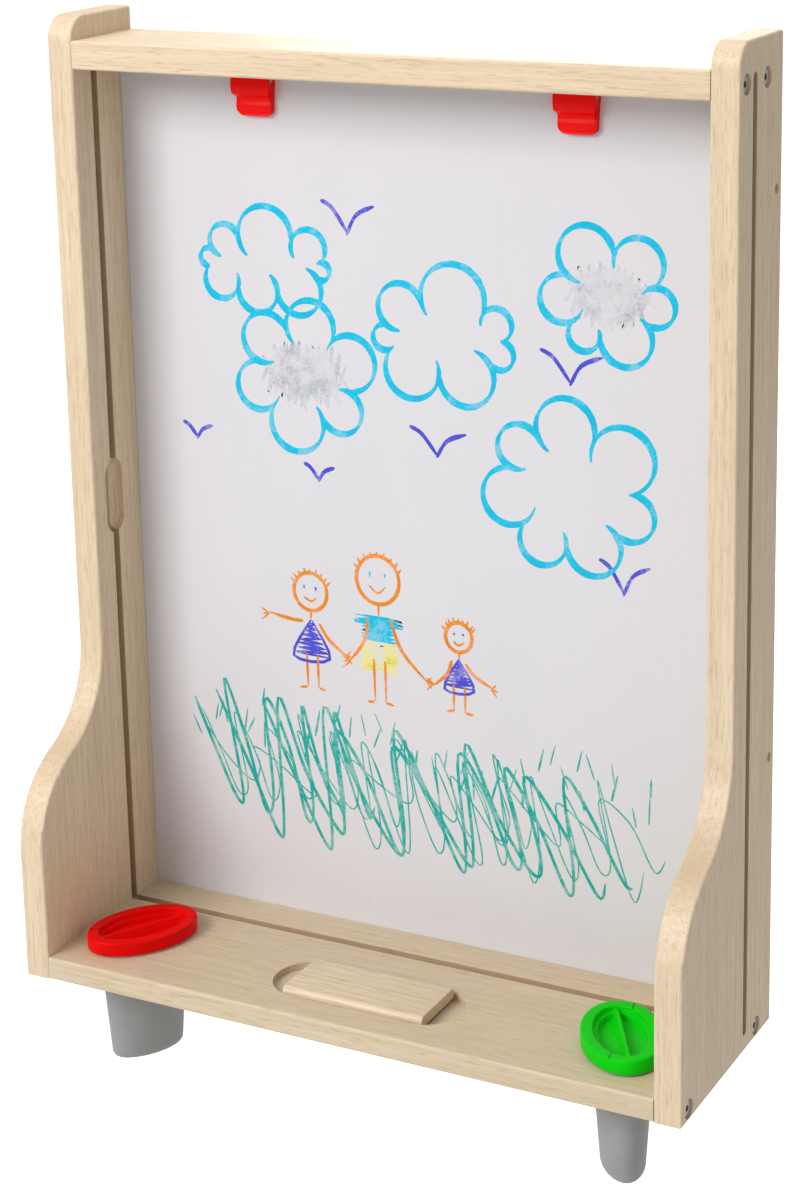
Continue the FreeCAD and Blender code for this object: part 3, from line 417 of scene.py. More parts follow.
def ink_material(name, ink, cover):
    made, tree, shader, place = new_material(name, {"Specular IOR Level": 0.3})
    film = use_group(tree, marker_ink, {"Vector": place["Object"], "Ink": ink, "Cover": cover})
    paint(tree, shader, film["Color"], film["Roughness"])
    add_bump(tree, shader, film["Height"], 0.00003, 0.4)
    return made


white_melamine = board_material()
black_felt = felt_material()
INKS = {
    "cyan": ink_material("ink_cyan", (0.0, 0.52, 0.76, 1), 0.98),
    "violet": ink_material("ink_violet", (0.075, 0.07, 0.62, 1), 0.94),
    "teal": ink_material("ink_teal", (0.004, 0.41, 0.34, 1), 0.88),
    "orange": ink_material("ink_orange", (0.84, 0.26, 0.01, 1), 0.95),
    "yellow": ink_material("ink_yellow", (0.86, 0.76, 0.10, 1), 0.62),
    "grey": ink_material("ink_grey", (0.50, 0.50, 0.53, 1), 0.34),
}
print("materials so far:", len(bpy.data.materials))

# %% [markdown]
# The engineering parts whose shape is already right keep their own mesh and only change material.

# %% Finish the engineering parts
FINISHES = {
    "side_panel_left": panel_woods[-1],
    "side_panel_right": panel_woods[1],
    "top_rail": rail_wood,
    "tray": tray_wood,
    "dry_erase_board": white_melamine,
    "eraser_block": eraser_wood,
    "eraser_felt": black_felt,
    "lid_left": red_lid_plastic,
    "lid_right": green_lid_plastic,
}


def finish_for(node):
    if node in FINISHES:
        return FINISHES[node]
    if node.startswith("cup"):
        return frosted_plastic
    if node.startswith(("clip_jaw", "clip_base")):
        return red_clip_plastic
    if node.startswith("clip_spring"):
        return spring_wire
    return zinc


for node_name, node_object in frame["nodes"].items():
    node_object.data.materials.clear()
    node_object.data.materials.append(finish_for(node_name))
print("engineering parts finished:", len(frame["nodes"]))

# %% [markdown]
# The pieces that a child handles are remodelled more finely than the engineering part needs. They share
# a few steps: a flat outline whose corners are rounded by short arcs, an oval wall drawn up through
# rings, and a last step that turns a bmesh into a finished object riding on its part.


# %% Shared modelling steps
def softened(corners, closed=False, steps=4):
    """Points of an outline whose corners, given as (across, up, radius), are rounded by arcs."""
    points = []
    last = len(corners) - 1
    for number, (across, up, radius) in enumerate(corners):
        here = Vector((across, up))
        if radius == 0 or (not closed and number in (0, last)):
            points.append(here)
            continue
        before = Vector(corners[number - 1][:2]) - here
        after = Vector(corners[(number + 1) % len(corners)][:2]) - here
        half_angle = before.angle(after) / 2
        bisector = (before.normalized() + after.normalized()).normalized()
        middle = here + bisector * radius / math.sin(half_angle)
        first = here + before.normalized() * radius / math.tan(half_angle) - middle
        sweep = first.angle_signed(here + after.normalized() * radius / math.tan(half_angle) - middle)
        for step in range(steps + 1):
            angle = -sweep * step / steps
            points.append(middle + Matrix.Rotation(angle, 2) @ first)
    return points


def draw_oval_wall(shape, half_long, half_short, outline, segments=96, closed=False):
    """Pulls an oval ring through an outline of (outwards, up) steps; the ends are capped unless closed."""
    ring = bmesh.ops.create_circle(shape, cap_ends=False, segments=segments, radius=1)["verts"]
    first_edges = list({edge for vert in ring for edge in vert.link_edges})
    long_now, short_now = half_long + outline[0][0], half_short + outline[0][0]
    bmesh.ops.scale(shape, verts=ring, vec=(long_now, short_now, 1))
    bmesh.ops.translate(shape, verts=ring, vec=(0, 0, outline[0][1]))
    edges, height = first_edges, outline[0][1]
    for outwards, up in outline[1:]:
        drawn = bmesh.ops.extrude_edge_only(shape, edges=edges)["geom"]
        verts = [item for item in drawn if isinstance(item, bmesh.types.BMVert)]
        edges = [item for item in drawn if isinstance(item, bmesh.types.BMEdge)]
        grown = ((half_long + outwards) / long_now, (half_short + outwards) / short_now, 1)
        bmesh.ops.scale(shape, verts=verts, vec=grown)
        bmesh.ops.translate(shape, verts=verts, vec=(0, 0, up - height))
        long_now, short_now, height = half_long + outwards, half_short + outwards, up
    if closed:
        bmesh.ops.bridge_loops(shape, edges=edges + first_edges)
    else:
        bmesh.ops.contextual_create(shape, geom=first_edges)
        bmesh.ops.contextual_create(shape, geom=edges)


def skin_rings(shape, rings):
    """Joins rings of points into one closed skin, with a cap on the first and on the last."""
    loops = [[shape.verts.new(point) for point in ring] for ring in rings]
    for one, two in zip(loops, loops[1:]):
        for number in range(len(one)):
            after = (number + 1) % len(one)
            shape.faces.new((one[number], one[after], two[after], two[number]))
    shape.faces.new(loops[0])
    shape.faces.new(loops[-1])
    return [vert for loop in loops for vert in loop]


def as_object(shape, name):
    """Puts a bmesh into the scene as an object at the origin."""
    mesh = bpy.data.meshes.new(name)
    shape.to_mesh(mesh)
    shape.free()
    made = bpy.data.objects.new(name, mesh)
    bpy.context.scene.collection.objects.link(made)
    return made


def finish_piece(shape, name, material, body, stands_for=(), sharp=38, bevel=0.0):
    """Makes the bmesh an object at the origin, with its place in its mesh, riding on a part's body."""
    bmesh.ops.remove_doubles(shape, verts=shape.verts, dist=0.001 * MM)
    bmesh.ops.recalc_face_normals(shape, faces=shape.faces)
    piece = as_object(shape, name)
    piece.data.materials.append(material)
    if bevel:
        edge = piece.modifiers.new("softened_edges", "BEVEL")
        edge.width = bevel
        edge.segments = 3
        edge.limit_method = "ANGLE"
        edge.angle_limit = math.radians(sharp)
        settle(piece)
    piece.data.shade_smooth()
    piece.data.set_sharp_from_angle(angle=math.radians(sharp))
    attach(piece, body)
    if stands_for:
        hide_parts(*stands_for)
    print(name, len(piece.data.polygons), "faces")
    return piece


def settle(piece):
    """Applies a piece's modifiers to its mesh."""
    bpy.context.view_layer.update()
    settled = bpy.data.meshes.new_from_object(piece.evaluated_get(bpy.context.evaluated_depsgraph_get()))
    piece.modifiers.clear()
    piece.data = settled


SIDES = {"left": -1, "right": 1}
print("modelling steps ready")

# %% [markdown]
# A paint cup is a thin oval beaker with a slight draft, a rounded foot, and a flat flange that hangs on
# the tray. It is drawn as one ring pulled up the outside, over the flange, and down the inside.

# %% Paint cups
CUP_DRAFT = math.tan(math.radians(4.1))
CUP_HALF_LONG, CUP_HALF_SHORT = 32.8 * MM, 20.4 * MM
CUP_WALL, CUP_FLOOR, FLANGE, CAP_REACH = 1.6 * MM, 2 * MM, 6.2 * MM, 8 * MM
CUP_TURNS = {-1: math.radians(60), 1: math.radians(120)}


def turn_flat(shape, turn):
    bmesh.ops.rotate(shape, verts=shape.verts, cent=(0, 0, 0), matrix=Matrix.Rotation(turn, 3, "Z"))


def place_oval(shape, side, middle, height):
    """Turns an oval drawn along X to its cup's slant, and moves it there."""
    turn_flat(shape, CUP_TURNS[side])
    bmesh.ops.translate(shape, verts=shape.verts, vec=(middle.x, middle.y, height))


def make_cup(word, side):
    low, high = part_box("cup_" + word)
    hang = tray_high.z
    depth = hang - low.z
    foot_in = -depth * CUP_DRAFT
    flange_top = high.z - hang
    inner_depth = depth - CUP_FLOOR
    inner_foot = -CUP_WALL - (inner_depth + flange_top) * CUP_DRAFT
    outline = softened([
        (foot_in - CAP_REACH, -depth, 0),
        (foot_in, -depth, 5 * MM),
        (0, -0.2 * MM, 0),
        (0, 0, 0),
        (FLANGE, 0, 0.4 * MM),
        (FLANGE, flange_top, 0.5 * MM),
        (-CUP_WALL, flange_top, 0.6 * MM),
        (inner_foot, -inner_depth, 3.4 * MM),
        (inner_foot - CAP_REACH, -inner_depth, 0),
    ], steps=6)
    shape = bmesh.new()
    draw_oval_wall(shape, CUP_HALF_LONG, CUP_HALF_SHORT, outline, segments=128)
    place_oval(shape, side, (low + high) / 2, hang)
    finish_piece(shape, "paint_cup_" + word, frosted_plastic, f"cup_{word}_body",
                 ["cup_" + word])


for word, side in SIDES.items():
    make_cup(word, side)

# %% [markdown]
# A lid is an oval cap with a broad flat rim, a stepped well for fingertips, and a ridge to pinch along
# its length. Two short marks cross the rim. A thin skirt below plugs into the cup. The wall is one ring
# pulled through an outline, the ridge is a wedge between two caps, and the marks are cut with a boolean.

# %% Lids
LID_HALF_LONG, LID_HALF_SHORT, RIM, LEDGE = 41 * MM, 27 * MM, 8 * MM, 3.2 * MM
LEDGE_DROP, WELL_DROP, RIDGE_DROP = 3.4 * MM, 7.4 * MM, 1.6 * MM
RIDGE_HALF, RIDGE_FOOT_HALF = 1.2 * MM, 3.6 * MM
MARK_SIZE, MARK_PLACE, MARK_SLANT = (17 * MM, 1.2 * MM, 1.2 * MM), 32.6 * MM, math.radians(-20)
PLUG_HALF_LONG, PLUG_HALF_SHORT, PLUG_WALL, PLUG_DEPTH = 30.5 * MM, 18.1 * MM, 1.6 * MM, 5 * MM


def cut_away(piece, cutter):
    """Takes the cutter's shape out of the piece, then removes the cutter."""
    boolean = piece.modifiers.new("cut", "BOOLEAN")
    boolean.operation = "DIFFERENCE"
    boolean.solver = "EXACT"
    boolean.object = cutter
    settle(piece)
    bpy.data.objects.remove(cutter)


def make_lid_cap(word, side, material, middle, seat, height):
    """The rim and the stepped well."""
    ledge_height, floor_height = height - LEDGE_DROP, height - WELL_DROP
    outline = softened([
        (-14 * MM, 0, 0),
        (0, 0, 0.7 * MM),
        (0, height, 1.3 * MM),
        (-RIM, height, 0.9 * MM),
        (-RIM - 0.3 * MM, ledge_height, 0.4 * MM),
        (-RIM - LEDGE, ledge_height, 0.5 * MM),
        (-RIM - LEDGE - 0.4 * MM, floor_height, 0.8 * MM),
        (-RIM - LEDGE - 4 * MM, floor_height, 0),
    ], steps=5)
    shape = bmesh.new()
    draw_oval_wall(shape, LID_HALF_LONG, LID_HALF_SHORT, outline, segments=128)
    place_oval(shape, side, middle, seat)
    return finish_piece(shape, f"paint_lid_{word}", material, f"lid_{word}_body", ["lid_" + word])


def cut_marks(lid, side, middle, seat, height):
    """Cuts the two short marks across the rim's ends."""
    mark = bmesh.new()
    for end in (-1, 1):
        verts = bmesh.ops.create_cube(mark, size=1)["verts"]
        bmesh.ops.scale(mark, verts=verts, vec=MARK_SIZE)
        bmesh.ops.translate(mark, verts=verts, vec=(end * MARK_PLACE, 0, height))
    turn_flat(mark, MARK_SLANT)
    place_oval(mark, side, middle, seat)
    cut_away(lid, as_object(mark, "mark_cutter"))


def make_lid(word, side, material):
    low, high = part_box("lid_" + word)
    middle = (low + high) / 2
    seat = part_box("cup_" + word)[1].z
    height = high.z - seat
    lid = make_lid_cap(word, side, material, middle, seat, height)
    cut_marks(lid, side, middle, seat, height)

    ridge_foot, ridge_top = height - WELL_DROP - 0.4 * MM, height - RIDGE_DROP
    wedge = softened([
        (-RIDGE_FOOT_HALF, ridge_foot, 0),
        (RIDGE_FOOT_HALF, ridge_foot, 0),
        (RIDGE_HALF, ridge_top, 0.6 * MM),
        (-RIDGE_HALF, ridge_top, 0.6 * MM),
    ], closed=True)
    reach = LID_HALF_LONG - RIM + 0.5 * MM
    shape = bmesh.new()
    skin_rings(shape, [[(end * reach, across, up) for across, up in wedge] for end in (-1, 1)])
    place_oval(shape, side, middle, seat)
    finish_piece(shape, f"lid_ridge_{word}", material, f"lid_{word}_body")

    shape = bmesh.new()
    draw_oval_wall(shape, PLUG_HALF_LONG, PLUG_HALF_SHORT, softened([
        (0, 0.2 * MM, 0),
        (0, -PLUG_DEPTH, 0.5 * MM),
        (-PLUG_WALL, -PLUG_DEPTH, 0.5 * MM),
        (-PLUG_WALL, 0.2 * MM, 0),
    ], closed=True), closed=True)
    place_oval(shape, side, middle, seat)
    finish_piece(shape, f"lid_plug_{word}", material, f"lid_{word}_body")


make_lid("left", -1, red_lid_plastic)
make_lid("right", 1, green_lid_plastic)

# %% [markdown]
# The eraser is a small hardwood block with its two long top edges well rounded for the palm, on a pad
# of black felt. A stretched cube is bevelled twice: first the long edges, then everything lightly.

# %% Eraser
PALM_ROUND, EDGE_ROUND = 4.2 * MM, 0.8 * MM
eraser_low, eraser_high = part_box("eraser_block")


def make_eraser():
    shape = bmesh.new()
    bmesh.ops.create_cube(shape, size=1)
    bmesh.ops.scale(shape, verts=shape.verts, vec=eraser_high - eraser_low)
    bmesh.ops.translate(shape, verts=shape.verts, vec=(eraser_high + eraser_low) / 2)
    top_edges = [edge for edge in shape.edges if all(vert.co.z > eraser_high.z - MM for vert in edge.verts)]
    long_edges = [edge for edge in top_edges if abs(edge.verts[0].co.x - edge.verts[1].co.x) > 10 * MM]
    bmesh.ops.bevel(shape, geom=long_edges, offset=PALM_ROUND, offset_type="OFFSET", segments=10,
                    profile=0.5, affect="EDGES", material=-1)
    finish_piece(shape, "eraser_grip", eraser_wood, "eraser", ["eraser_block"], sharp=40,
                 bevel=EDGE_ROUND)


make_eraser()

# %% [markdown]
# A paper clip's jaw is a hollow hood that turns on a steel pin, drawn in at the waist and swelling again
# to a pad with rounded corners and a small lip. Its cross-section is one C-shaped outline, repeated
# across the width in slices that are then narrowed, crowned and rounded. The two cheeks are spun.

# %% Clip jaws
BARREL, BARREL_WALL, CHEEK, PIN_BORE = 5 * MM, 1.5 * MM, 2.2 * MM, 1.56 * MM
TAB_DROP, TAB_CORNER, JAW_SLICES = 24.5 * MM, 4.6 * MM, 28
WAIST, PAD_SWELL, CROWN = 1.7 * MM, 0.6 * MM, 0.8 * MM


def spin_cheek(shape, radii, reach, steps=72):
    """Spins a small rectangle once round X into a thick ring."""
    (near, far), (small, large) = reach, radii
    corners = [(near, small, 0), (far, small, 0), (far, large, 0), (near, large, 0)]
    verts = [shape.verts.new(corner) for corner in corners]
    face = shape.faces.new(verts)
    bmesh.ops.spin(shape, geom=verts + face.edges[:], cent=(0, 0, 0), axis=(1, 0, 0), angle=2 * math.pi,
                   steps=steps, use_merge=True, use_duplicate=False)
    shape.faces.remove(face)


def ease(low, high, spot):
    """A smooth step from 0 at low to 1 at high."""
    share = min(max((spot - low) / (high - low), 0), 1)
    return share * share * (3 - 2 * share)


def arc_points(radius, first, final, steps):
    turns = [math.radians(first + (final - first) * step / steps) for step in range(steps + 1)]
    return [Vector((radius * math.cos(turn), radius * math.sin(turn))) for turn in turns]


def jaw_outline(back):
    """The jaw's cross-section as (Y, Z) from the pin, forwards being -Y."""
    hood = softened([
        (-BARREL, 0, 0),
        (-5.4 * MM, -4.6 * MM, 5 * MM),
        (-4.4 * MM, -8.9 * MM, 3.2 * MM),
        (0.7 * MM, -12.5 * MM, 3.0 * MM),
        (-0.5 * MM, -17.4 * MM, 5 * MM),
        (0.1 * MM, -21.2 * MM, 2.5 * MM),
        (1.5 * MM, -22.9 * MM, 1.2 * MM),
        (1.0 * MM, -TAB_DROP, 0.5 * MM),
        (back - 1.3 * MM, -TAB_DROP, 0.6 * MM),
        (back, -22.0 * MM, 1.5 * MM),
        (back, -0.9 * MM, 0),
    ], steps=6)
    return arc_points(BARREL, 135, 177, 9) + hood + arc_points(BARREL - BARREL_WALL, 350, 135, 40)


def make_jaw(word):
    low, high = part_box("clip_jaw_" + word)
    pin_low, pin_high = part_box("clip_pin_" + word)
    pin = (pin_low + pin_high) / 2
    half_width = (high.x - low.x) / 2
    back = high.y - pin.y
    outline = jaw_outline(back)
    shape = bmesh.new()
    slices = [half_width * (2 * number / JAW_SLICES - 1) for number in range(JAW_SLICES + 1)]
    for vert in skin_rings(shape, [[(across, *point) for point in outline] for across in slices]):
        narrowed = WAIST * ease(-9 * MM, -12.4 * MM, vert.co.z)
        narrowed -= PAD_SWELL * ease(-13 * MM, -16 * MM, vert.co.z)
        half_here = half_width - narrowed
        share = vert.co.x / half_width
        vert.co.x = share * half_here
        if vert.co.y < back - 2 * MM and vert.co.z < 0:
            vert.co.y -= CROWN * (1 - share ** 2) * ease(0, -4 * MM, vert.co.z)
        past_side = abs(vert.co.x) - (half_here - TAB_CORNER)
        past_foot = -vert.co.z - (TAB_DROP - TAB_CORNER)
        if past_side > 0 and past_foot > 0:
            pull = max(past_side, past_foot) / math.hypot(past_side, past_foot)
            vert.co.x = math.copysign(half_here - TAB_CORNER + past_side * pull, vert.co.x)
            vert.co.z = -(TAB_DROP - TAB_CORNER + past_foot * pull)
    for end in (-1, 1):
        reach = (end * (half_width - 0.3 * MM), end * (half_width - CHEEK))
        spin_cheek(shape, (PIN_BORE, BARREL - 0.2 * MM), reach)
    bmesh.ops.translate(shape, verts=shape.verts, vec=pin)
    finish_piece(shape, "clip_" + word, red_clip_plastic, f"clip_{word}_body",
                 ["clip_jaw_" + word], sharp=50, bevel=0.5 * MM)


for word in SIDES:
    make_jaw(word)

# %% [markdown]
# A child's marker drawing covers the board: scalloped clouds, birds, three stick people and a lot of
# scribbled grass. Each stroke is a very thin closed band laid on the board's face. A chisel-tipped
# marker draws a wide line one way and a thin line the other, so the band's width follows its direction.

# %% Marker strokes
hand = random.Random(11)
FILM = 0.05 * MM
LINE_TILT = math.radians(58)


def smooth_path(points, steps=6):
    """A Catmull-Rom line through the points."""
    last = len(points) - 1
    path = []
    for number in range(last):
        around = [points[min(max(number + shift, 0), last)] for shift in (-1, 0, 1, 2)]
        a, b, c, d = (Vector(point) for point in around)
        for step in range(steps):
            t = step / steps
            path.append(0.5 * (2 * b + (c - a) * t + (2 * a - 5 * b + 4 * c - d) * t ** 2
                               + (3 * b - a - 3 * c + d) * t ** 3))
    path.append(Vector(points[-1]))
    return path


def draw_stroke(shape, path, width, chisel=0.0, layer=0):
    """A thin band along a path of (across, up) in mm; up counts from the tray's top."""
    rings = []
    last = len(path) - 1
    for number, point in enumerate(path):
        along = path[min(number + 1, last)] - path[max(number - 1, 0)]
        if along.length < 1e-6:
            continue
        along.normalize()
        aside = Vector((-along.y, along.x))
        turned = abs(math.sin(math.atan2(along.y, along.x) - LINE_TILT))
        half = width / 2 * (1 - chisel + chisel * turned) * hand.uniform(0.93, 1.07)
        half *= min(1.0, 0.55 + 0.25 * number, 0.35 + 0.25 * (last - number))
        # every ring lies at its own depth, so that where strokes cross no two faces lie in one plane
        front = board_low.y - FILM * (1 + 0.25 * layer + hand.uniform(0, 0.5))
        ring = []
        for out, depth in ((-1, board_low.y + FILM), (-0.86, front), (0.86, front), (1, board_low.y + FILM)):
            spot = point + aside * half * out
            ring.append((spot.x * MM, depth, tray_high.z + spot.y * MM))
        rings.append(ring)
    skin_rings(shape, rings)


def finish_ink(shape, name, ink):
    finish_piece(shape, name, INKS[ink], "frame", sharp=3)


print("marker strokes ready")

# %% [markdown]
# A cloud is a ring of round lobes strung between points on an oval. Each lobe is a stroke of its own, most
# of a circle, whose end hooks inwards past the start of the next. Two clouds have a loose grey fill.


# %% Clouds and birds
def cloud_arcs(middle, half, lobes, bulge, start):
    """One round stroke for each lobe of a cloud's outline."""
    turns = [start + 2 * math.pi * (number + hand.uniform(-0.2, 0.2)) / lobes for number in range(lobes)]
    knots = [Vector((middle[0] + half[0] * math.cos(turn), middle[1] + half[1] * math.sin(turn)))
             for turn in turns]
    for number, here in enumerate(knots):
        there = knots[(number + 1) % lobes]
        outwards = Vector((there.y - here.y, here.x - there.x))
        centre = (here + there) / 2 + outwards * bulge * hand.uniform(0.85, 1.15)
        first, final = here - centre, there - centre
        from_turn = math.atan2(first.y, first.x)
        sweep = (math.atan2(final.y, final.x) - from_turn) % (2 * math.pi)
        hook = hand.uniform(0.15, 0.75)
        steps = 22
        arc = []
        for step in range(steps + 1):
            turn = from_turn + (sweep + hook) * step / steps
            reach = first.length * (1 - 0.16 * max(0, step / steps - 0.8))
            arc.append(centre + Vector((math.cos(turn), math.sin(turn))) * reach)
        yield arc


def scribble(low, high, rows, lean):
    """A hurried back-and-forth fill of an oval."""
    middle, half = (Vector(low) + Vector(high)) / 2, (Vector(high) - Vector(low)) / 2
    points = []
    for number in range(rows):
        share = -0.94 + 1.88 * number / (rows - 1)
        reach = math.sqrt(1 - share ** 2) * half.y * hand.uniform(0.72, 0.96)
        side = 1 if number % 2 else -1
        points.append(middle + Vector((share * half.x + side * lean, side * reach + hand.uniform(-2, 2))))
    return smooth_path(points, steps=5)


CLOUDS = [
    # middle, half size, lobes, bulge, start angle, grey fill
    ((-116, 471), (46, 15), 8, 0.16, 0.3, False),
    ((-88, 397), (36, 31), 6, 0.20, 0.9, True),
    ((18, 431), (44, 21), 7, 0.20, 0.1, False),
    ((136, 469), (32, 27), 6, 0.20, 0.5, True),
    ((109, 338), (44, 36), 7, 0.20, 0.2, False),
]
BIRDS = [(-51, 504, 40), (110, 417, 44), (-174, 347, 24), (13, 357, 42), (-78, 327, 24), (147, 280, 36)]

outlines, fills, wings = bmesh.new(), bmesh.new(), bmesh.new()
for middle, half, lobes, bulge, start, filled in CLOUDS:
    for lobe, arc in enumerate(cloud_arcs(middle, half, lobes, bulge, start)):
        draw_stroke(outlines, arc, 5.6, chisel=0.58, layer=2 + lobe % 3)
    if filled:
        low = (middle[0] - half[0] * 0.86, middle[1] - half[1] * 0.86)
        high = (middle[0] + half[0] * 0.86, middle[1] + half[1] * 0.86)
        draw_stroke(fills, scribble(low, high, 24, 4), 3.2)
        draw_stroke(fills, scribble(low, high, 15, -6), 2.4, layer=1)
for across, up, wide in BIRDS:
    lift = wide * hand.uniform(0.30, 0.5)
    left_wing = [(across - wide / 2, up + lift * 0.8), (across - wide * 0.28, up + lift * 0.5),
                 (across, up - lift * 0.45)]
    right_wing = [(across - 1, up - lift * 0.5), (across + wide * 0.16, up + lift * 0.3),
                  (across + wide / 2, up + lift * 0.7)]
    draw_stroke(wings, smooth_path(left_wing), 3.2, chisel=0.4, layer=1)
    draw_stroke(wings, smooth_path(right_wing), 4.2, chisel=0.4, layer=2)
finish_ink(fills, "drawing_cloud_fill", "grey")
finish_ink(outlines, "drawing_clouds", "cyan")
finish_ink(wings, "drawing_birds", "violet")

# %% [markdown]
# The stick people are simple: a round head with a smile, straight limbs, and a scribbled dress or shirt
# and shorts. They are drawn from one recipe with their own place, height and clothes.


# %% Stick people
def circle_path(middle, radius, steps=26):
    """A little more than one turn, a touch taller than wide."""
    turns = [0.4 + 2.12 * math.pi * step / steps for step in range(steps + 1)]
    return [Vector((middle[0] + radius * math.cos(turn), middle[1] + radius * 1.06 * math.sin(turn)))
            for turn in turns]


def hatch(shape, left, right, low, high, narrow, rows, width):
    """A back-and-forth fill between two uprights that close in by narrow at the top."""
    points = []
    for number in range(rows + 1):
        share = number / rows
        pull = narrow * share
        side = left + pull if number % 2 else right - pull
        points.append((side + hand.uniform(-0.8, 0.8), low + (high - low) * share + hand.uniform(-0.6, 0.6)))
    draw_stroke(shape, smooth_path(points, steps=3), width * 1.15, layer=1)


def line(shape, width, *points):
    shaken = [(x + hand.uniform(-0.6, 0.6), y + hand.uniform(-0.6, 0.6)) for x, y in points]
    draw_stroke(shape, smooth_path(shaken, steps=4), width * 1.6, layer=3)


def draw_person(across, foot, tall, inks, dress, hands):
    """One figure; inks are the pieces that take its limbs, its top or dress, and its shorts."""
    head = tall * 0.155
    crown = foot + tall - head
    neck, hip = crown - head * 1.55, foot + tall * 0.30
    skin, top, legs = inks
    draw_stroke(skin, circle_path((across, crown), head), 3.0, layer=3)
    for step in range(9):
        turn = math.pi * (0.12 + 0.095 * step)
        root = (across + head * math.cos(turn), crown + head * math.sin(turn))
        line(skin, 1.3, root, (root[0] + 3.4 * math.cos(turn), root[1] + 3.8))
    line(skin, 1.4, (across, crown - head), (across, neck))
    line(skin, 1.1, (across - head * 0.4, crown - head * 0.3), (across, crown - head * 0.55),
         (across + head * 0.4, crown - head * 0.3))
    for side, reach in zip((-1, 1), hands):
        eye = across + side * head * 0.36
        line(top, 1.2, (eye, crown + head * 0.3), (eye, crown + head * 0.12))
        line(skin, 1.7, (across + side * 4, hip), (across + side * 4.5, foot + 1))
        line(skin, 1.7, (across + side * 4.5, foot + 1), (across + side * 10, foot))
        elbow = ((across + reach[0]) / 2, (neck + reach[1]) / 2 - 2)
        line(skin, 1.8, (across + side * tall * 0.08, neck - 2), elbow, reach)
        for finger in (-1, 0, 1):
            line(skin, 1.1, reach, (reach[0] + side * 5 - abs(finger), reach[1] + finger * 4.5 - 1))
    wide = tall * (0.17 if dress else 0.12)
    if dress:
        line(top, 1.5, (across, neck), (across - wide, hip - 3), (across + wide, hip - 2), (across, neck))
        hatch(top, across - wide, across + wide, hip - 1, neck - 2, wide * 0.9, 15, 1.7)
        return
    waist = hip + tall * 0.13
    hatch(top, across - wide, across + wide, waist, neck - 1, 1.5, 13, 2.6)
    hatch(top, across - wide * 1.5, across + wide * 1.5, neck - 7, neck - 2, 2, 5, 2.2)
    for side in (-1, 1):
        hatch(legs, across + side, across + side * wide * 1.2, hip - 8, waist - 1, 0.5, 12, 2.4)


limbs, blue_cloth, violet_cloth, shorts = bmesh.new(), bmesh.new(), bmesh.new(), bmesh.new()
draw_person(-88, 171, 84, (limbs, violet_cloth, None), True, ((-122, 222), (-61, 199)))
draw_person(-35, 168, 106, (limbs, blue_cloth, shorts), False, ((-58, 196), (1, 190)))
draw_person(26, 171, 64, (limbs, violet_cloth, None), True, ((7, 189), (50, 192)))
finish_ink(shorts, "drawing_shorts", "yellow")
finish_ink(blue_cloth, "drawing_shirt", "cyan")
finish_ink(violet_cloth, "drawing_dresses", "violet")
finish_ink(limbs, "drawing_people", "orange")

# %% [markdown]
# The grass is two passes of a hurried zigzag: long leaning strokes with the broad tip, looped at the
# bottom, and thin quick ones across them, with a few loose blades on top.


# %% Scribbled grass
def zigzag(start, end, top, low, lean, back):
    """Long strokes leaning down to the right, each looped at its foot and carried up to the next."""
    points = []
    across = start
    while across < end:
        share = (across - start) / (end - start)
        reach = lean * hand.uniform(0.85, 1.15)
        points.append((across, top - 10 * share + hand.uniform(-16, 6)))
        points.append((across + reach * 0.5 + hand.uniform(-3, 3), (top + low) / 2 + hand.uniform(-6, 6)))
        points.append((across + reach, low + hand.uniform(-6, 14)))
        points.append((across + reach + hand.uniform(4, 8), low + 10 + hand.uniform(-4, 12)))
        across += reach + hand.uniform(-back, back * 0.5)
    return smooth_path(points, steps=6)


BLADES = 44
grass, thin_grass = bmesh.new(), bmesh.new()
# each sweep is a start, an end, a top, a foot, a lean and a step back
for sweep in (
    (-186, -60, 164, 76, 30, 8), (-168, 128, 160, 58, 46, 8), (-128, 120, 156, 52, 50, 8),
):
    draw_stroke(grass, zigzag(*sweep), 2.9, chisel=0.35, layer=2)
for sweep in (
    (-180, 60, 150, 80, 26, 5), (-70, 152, 146, 62, 28, 6), (-178, 150, 134, 84, 38, 6),
):
    draw_stroke(thin_grass, zigzag(*sweep), 1.2, layer=1)
for number in range(BLADES):
    share = number / (BLADES - 1)
    across = -182 + 350 * share + hand.uniform(-5, 5)
    up = 146 - 10 * share + hand.uniform(-30, 8)
    tip = (across + hand.uniform(-7, 7), up + hand.uniform(12, 20))
    draw_stroke(thin_grass, smooth_path([(across, up), tip]), hand.uniform(1.0, 2.0), layer=3)
finish_ink(thin_grass, "drawing_thin_grass", "teal")
finish_ink(grass, "drawing_grass", "teal")

# %% [markdown]
# The setting is a plain floor well below the hanging cups, which glows white to the eye but throws back
# little light of its own, and a soft white sky all round. A broad lamp stands at the front left, a
# weaker one hangs overhead for the upward faces, and a third lights the back for the views from behind.


# %% Floor, lamps and sky
FLOOR_DROP, FLOOR_HALF = 0.22, 40


def soft_lamp(name, spot, aim, size, power):
    lamp = bpy.data.lights.new(name, "AREA")
    lamp.shape = "RECTANGLE"
    lamp.size, lamp.size_y = size
    lamp.energy = power
    holder = bpy.data.objects.new(name, lamp)
    holder.location = spot
    holder.rotation_euler = (Vector(aim) - Vector(spot)).to_track_quat("-Z", "Y").to_euler()
    bpy.context.scene.collection.objects.link(holder)


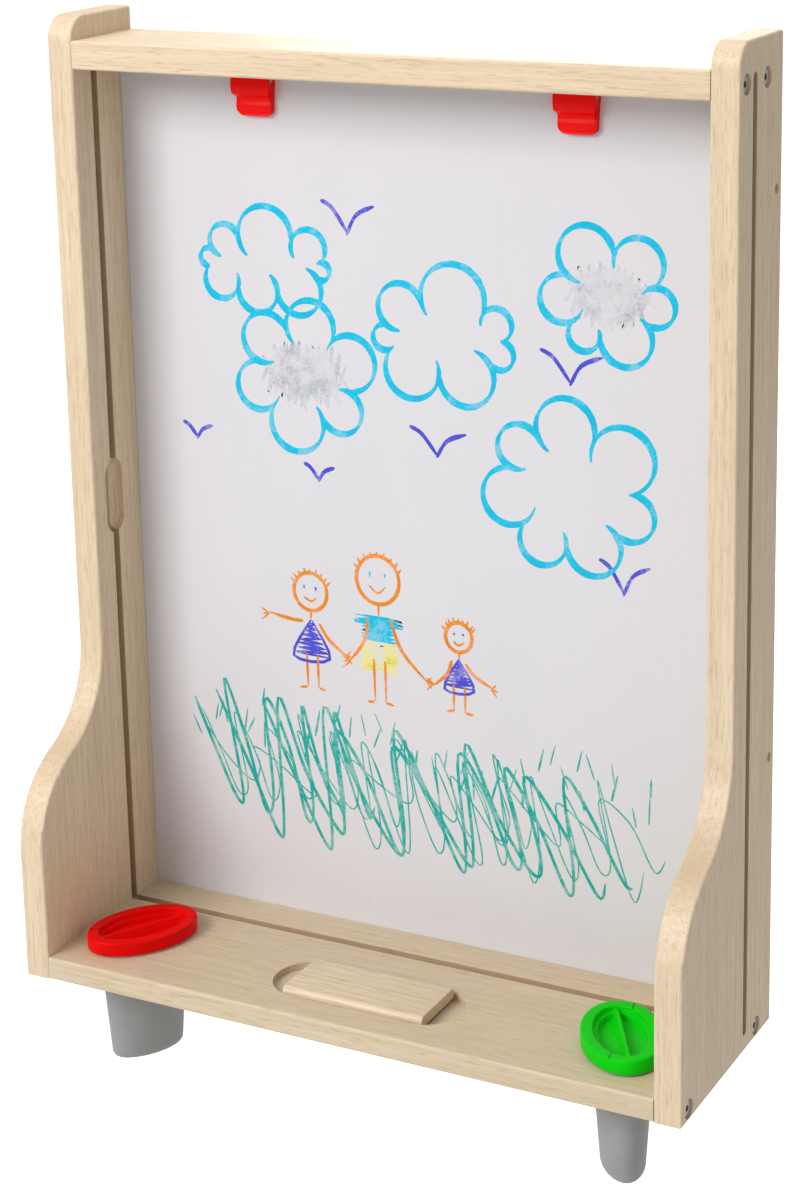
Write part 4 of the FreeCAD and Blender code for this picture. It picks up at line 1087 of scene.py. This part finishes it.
def make_floor():
    shape = bmesh.new()
    bmesh.ops.create_grid(shape, x_segments=1, y_segments=1, size=FLOOR_HALF)
    bmesh.ops.translate(shape, verts=shape.verts, vec=(0, 0, cad_low.z - FLOOR_DROP))
    floor = as_object(shape, "floor")
    glow = {"Emission Color": (1, 1, 1, 1), "Roughness": 0.9}
    made, tree, shader, place = new_material("pale_floor", glow)
    cloudy = stretched(tree, place["Object"], (3, 3, 3), detail=3)
    color = blend_colors(tree, cloudy, (0.50, 0.50, 0.50, 1), (0.54, 0.54, 0.54, 1))
    tree.links.new(color, shader.inputs["Base Color"])
    straight = add_node(tree, "ShaderNodeLightPath").outputs["Is Camera Ray"]
    tree.links.new(span(tree, straight, 0.0, 1.0, 0.14, 0.78), shader.inputs["Emission Strength"])
    floor.data.materials.append(made)


make_floor()
target = ((cad_low + cad_high) / 2)[:]
soft_lamp("lamp_front_left", (-1.15, -2.6, 2.0), target, (1.5, 1.5), 76)
soft_lamp("lamp_overhead", (-0.2, 0.7, 2.6), target, (1.4, 1.4), 27)
soft_lamp("lamp_behind", (-0.9, 2.8, 1.1), target, (1.5, 1.5), 28)
sky = bpy.data.worlds.new("soft_sky")
sky.use_nodes = True
backdrop = sky.node_tree.nodes["Background"]
backdrop.inputs["Color"].default_value = (1, 1, 1, 1)
seen_straight = add_node(sky.node_tree, "ShaderNodeLightPath").outputs["Is Camera Ray"]
sky.node_tree.links.new(span(sky.node_tree, seen_straight, 0.0, 1.0, 0.50, 1.0), backdrop.inputs["Strength"])
bpy.context.scene.world = sky
bpy.context.scene.view_settings.view_transform = "Standard"
print("stage set")

# %% [markdown]
# The camera stands to the right of the easel's middle and looks a little down on it. A small lens
# shift keeps the uprights from leaning in too much.

# %% Camera
IMAGE_LONG_SIDE, FOCAL_LENGTH = 1200, 2660.3
camera_data = bpy.data.cameras.new("camera")
camera_data.sensor_fit = "AUTO"
camera_data.sensor_width = 36
camera_data.lens = FOCAL_LENGTH * camera_data.sensor_width / IMAGE_LONG_SIDE
camera_data.shift_y = -0.18
camera = bpy.data.objects.new("camera", camera_data)
camera.location = (785.8 * MM, -1530.5 * MM, 839.9 * MM)
turned_left = Matrix.Rotation(math.radians(27.972), 4, "Z")
tipped_down = Matrix.Rotation(math.radians(90 - 14.225), 4, "X")
rolled = Matrix.Rotation(math.radians(-1.285), 4, "Z")
camera.rotation_mode = "QUATERNION"
camera.rotation_quaternion = (turned_left @ tipped_down @ rolled).to_quaternion()
bpy.context.scene.collection.objects.link(camera)
bpy.context.scene.camera = camera
print("camera lens:", round(camera_data.lens, 1))
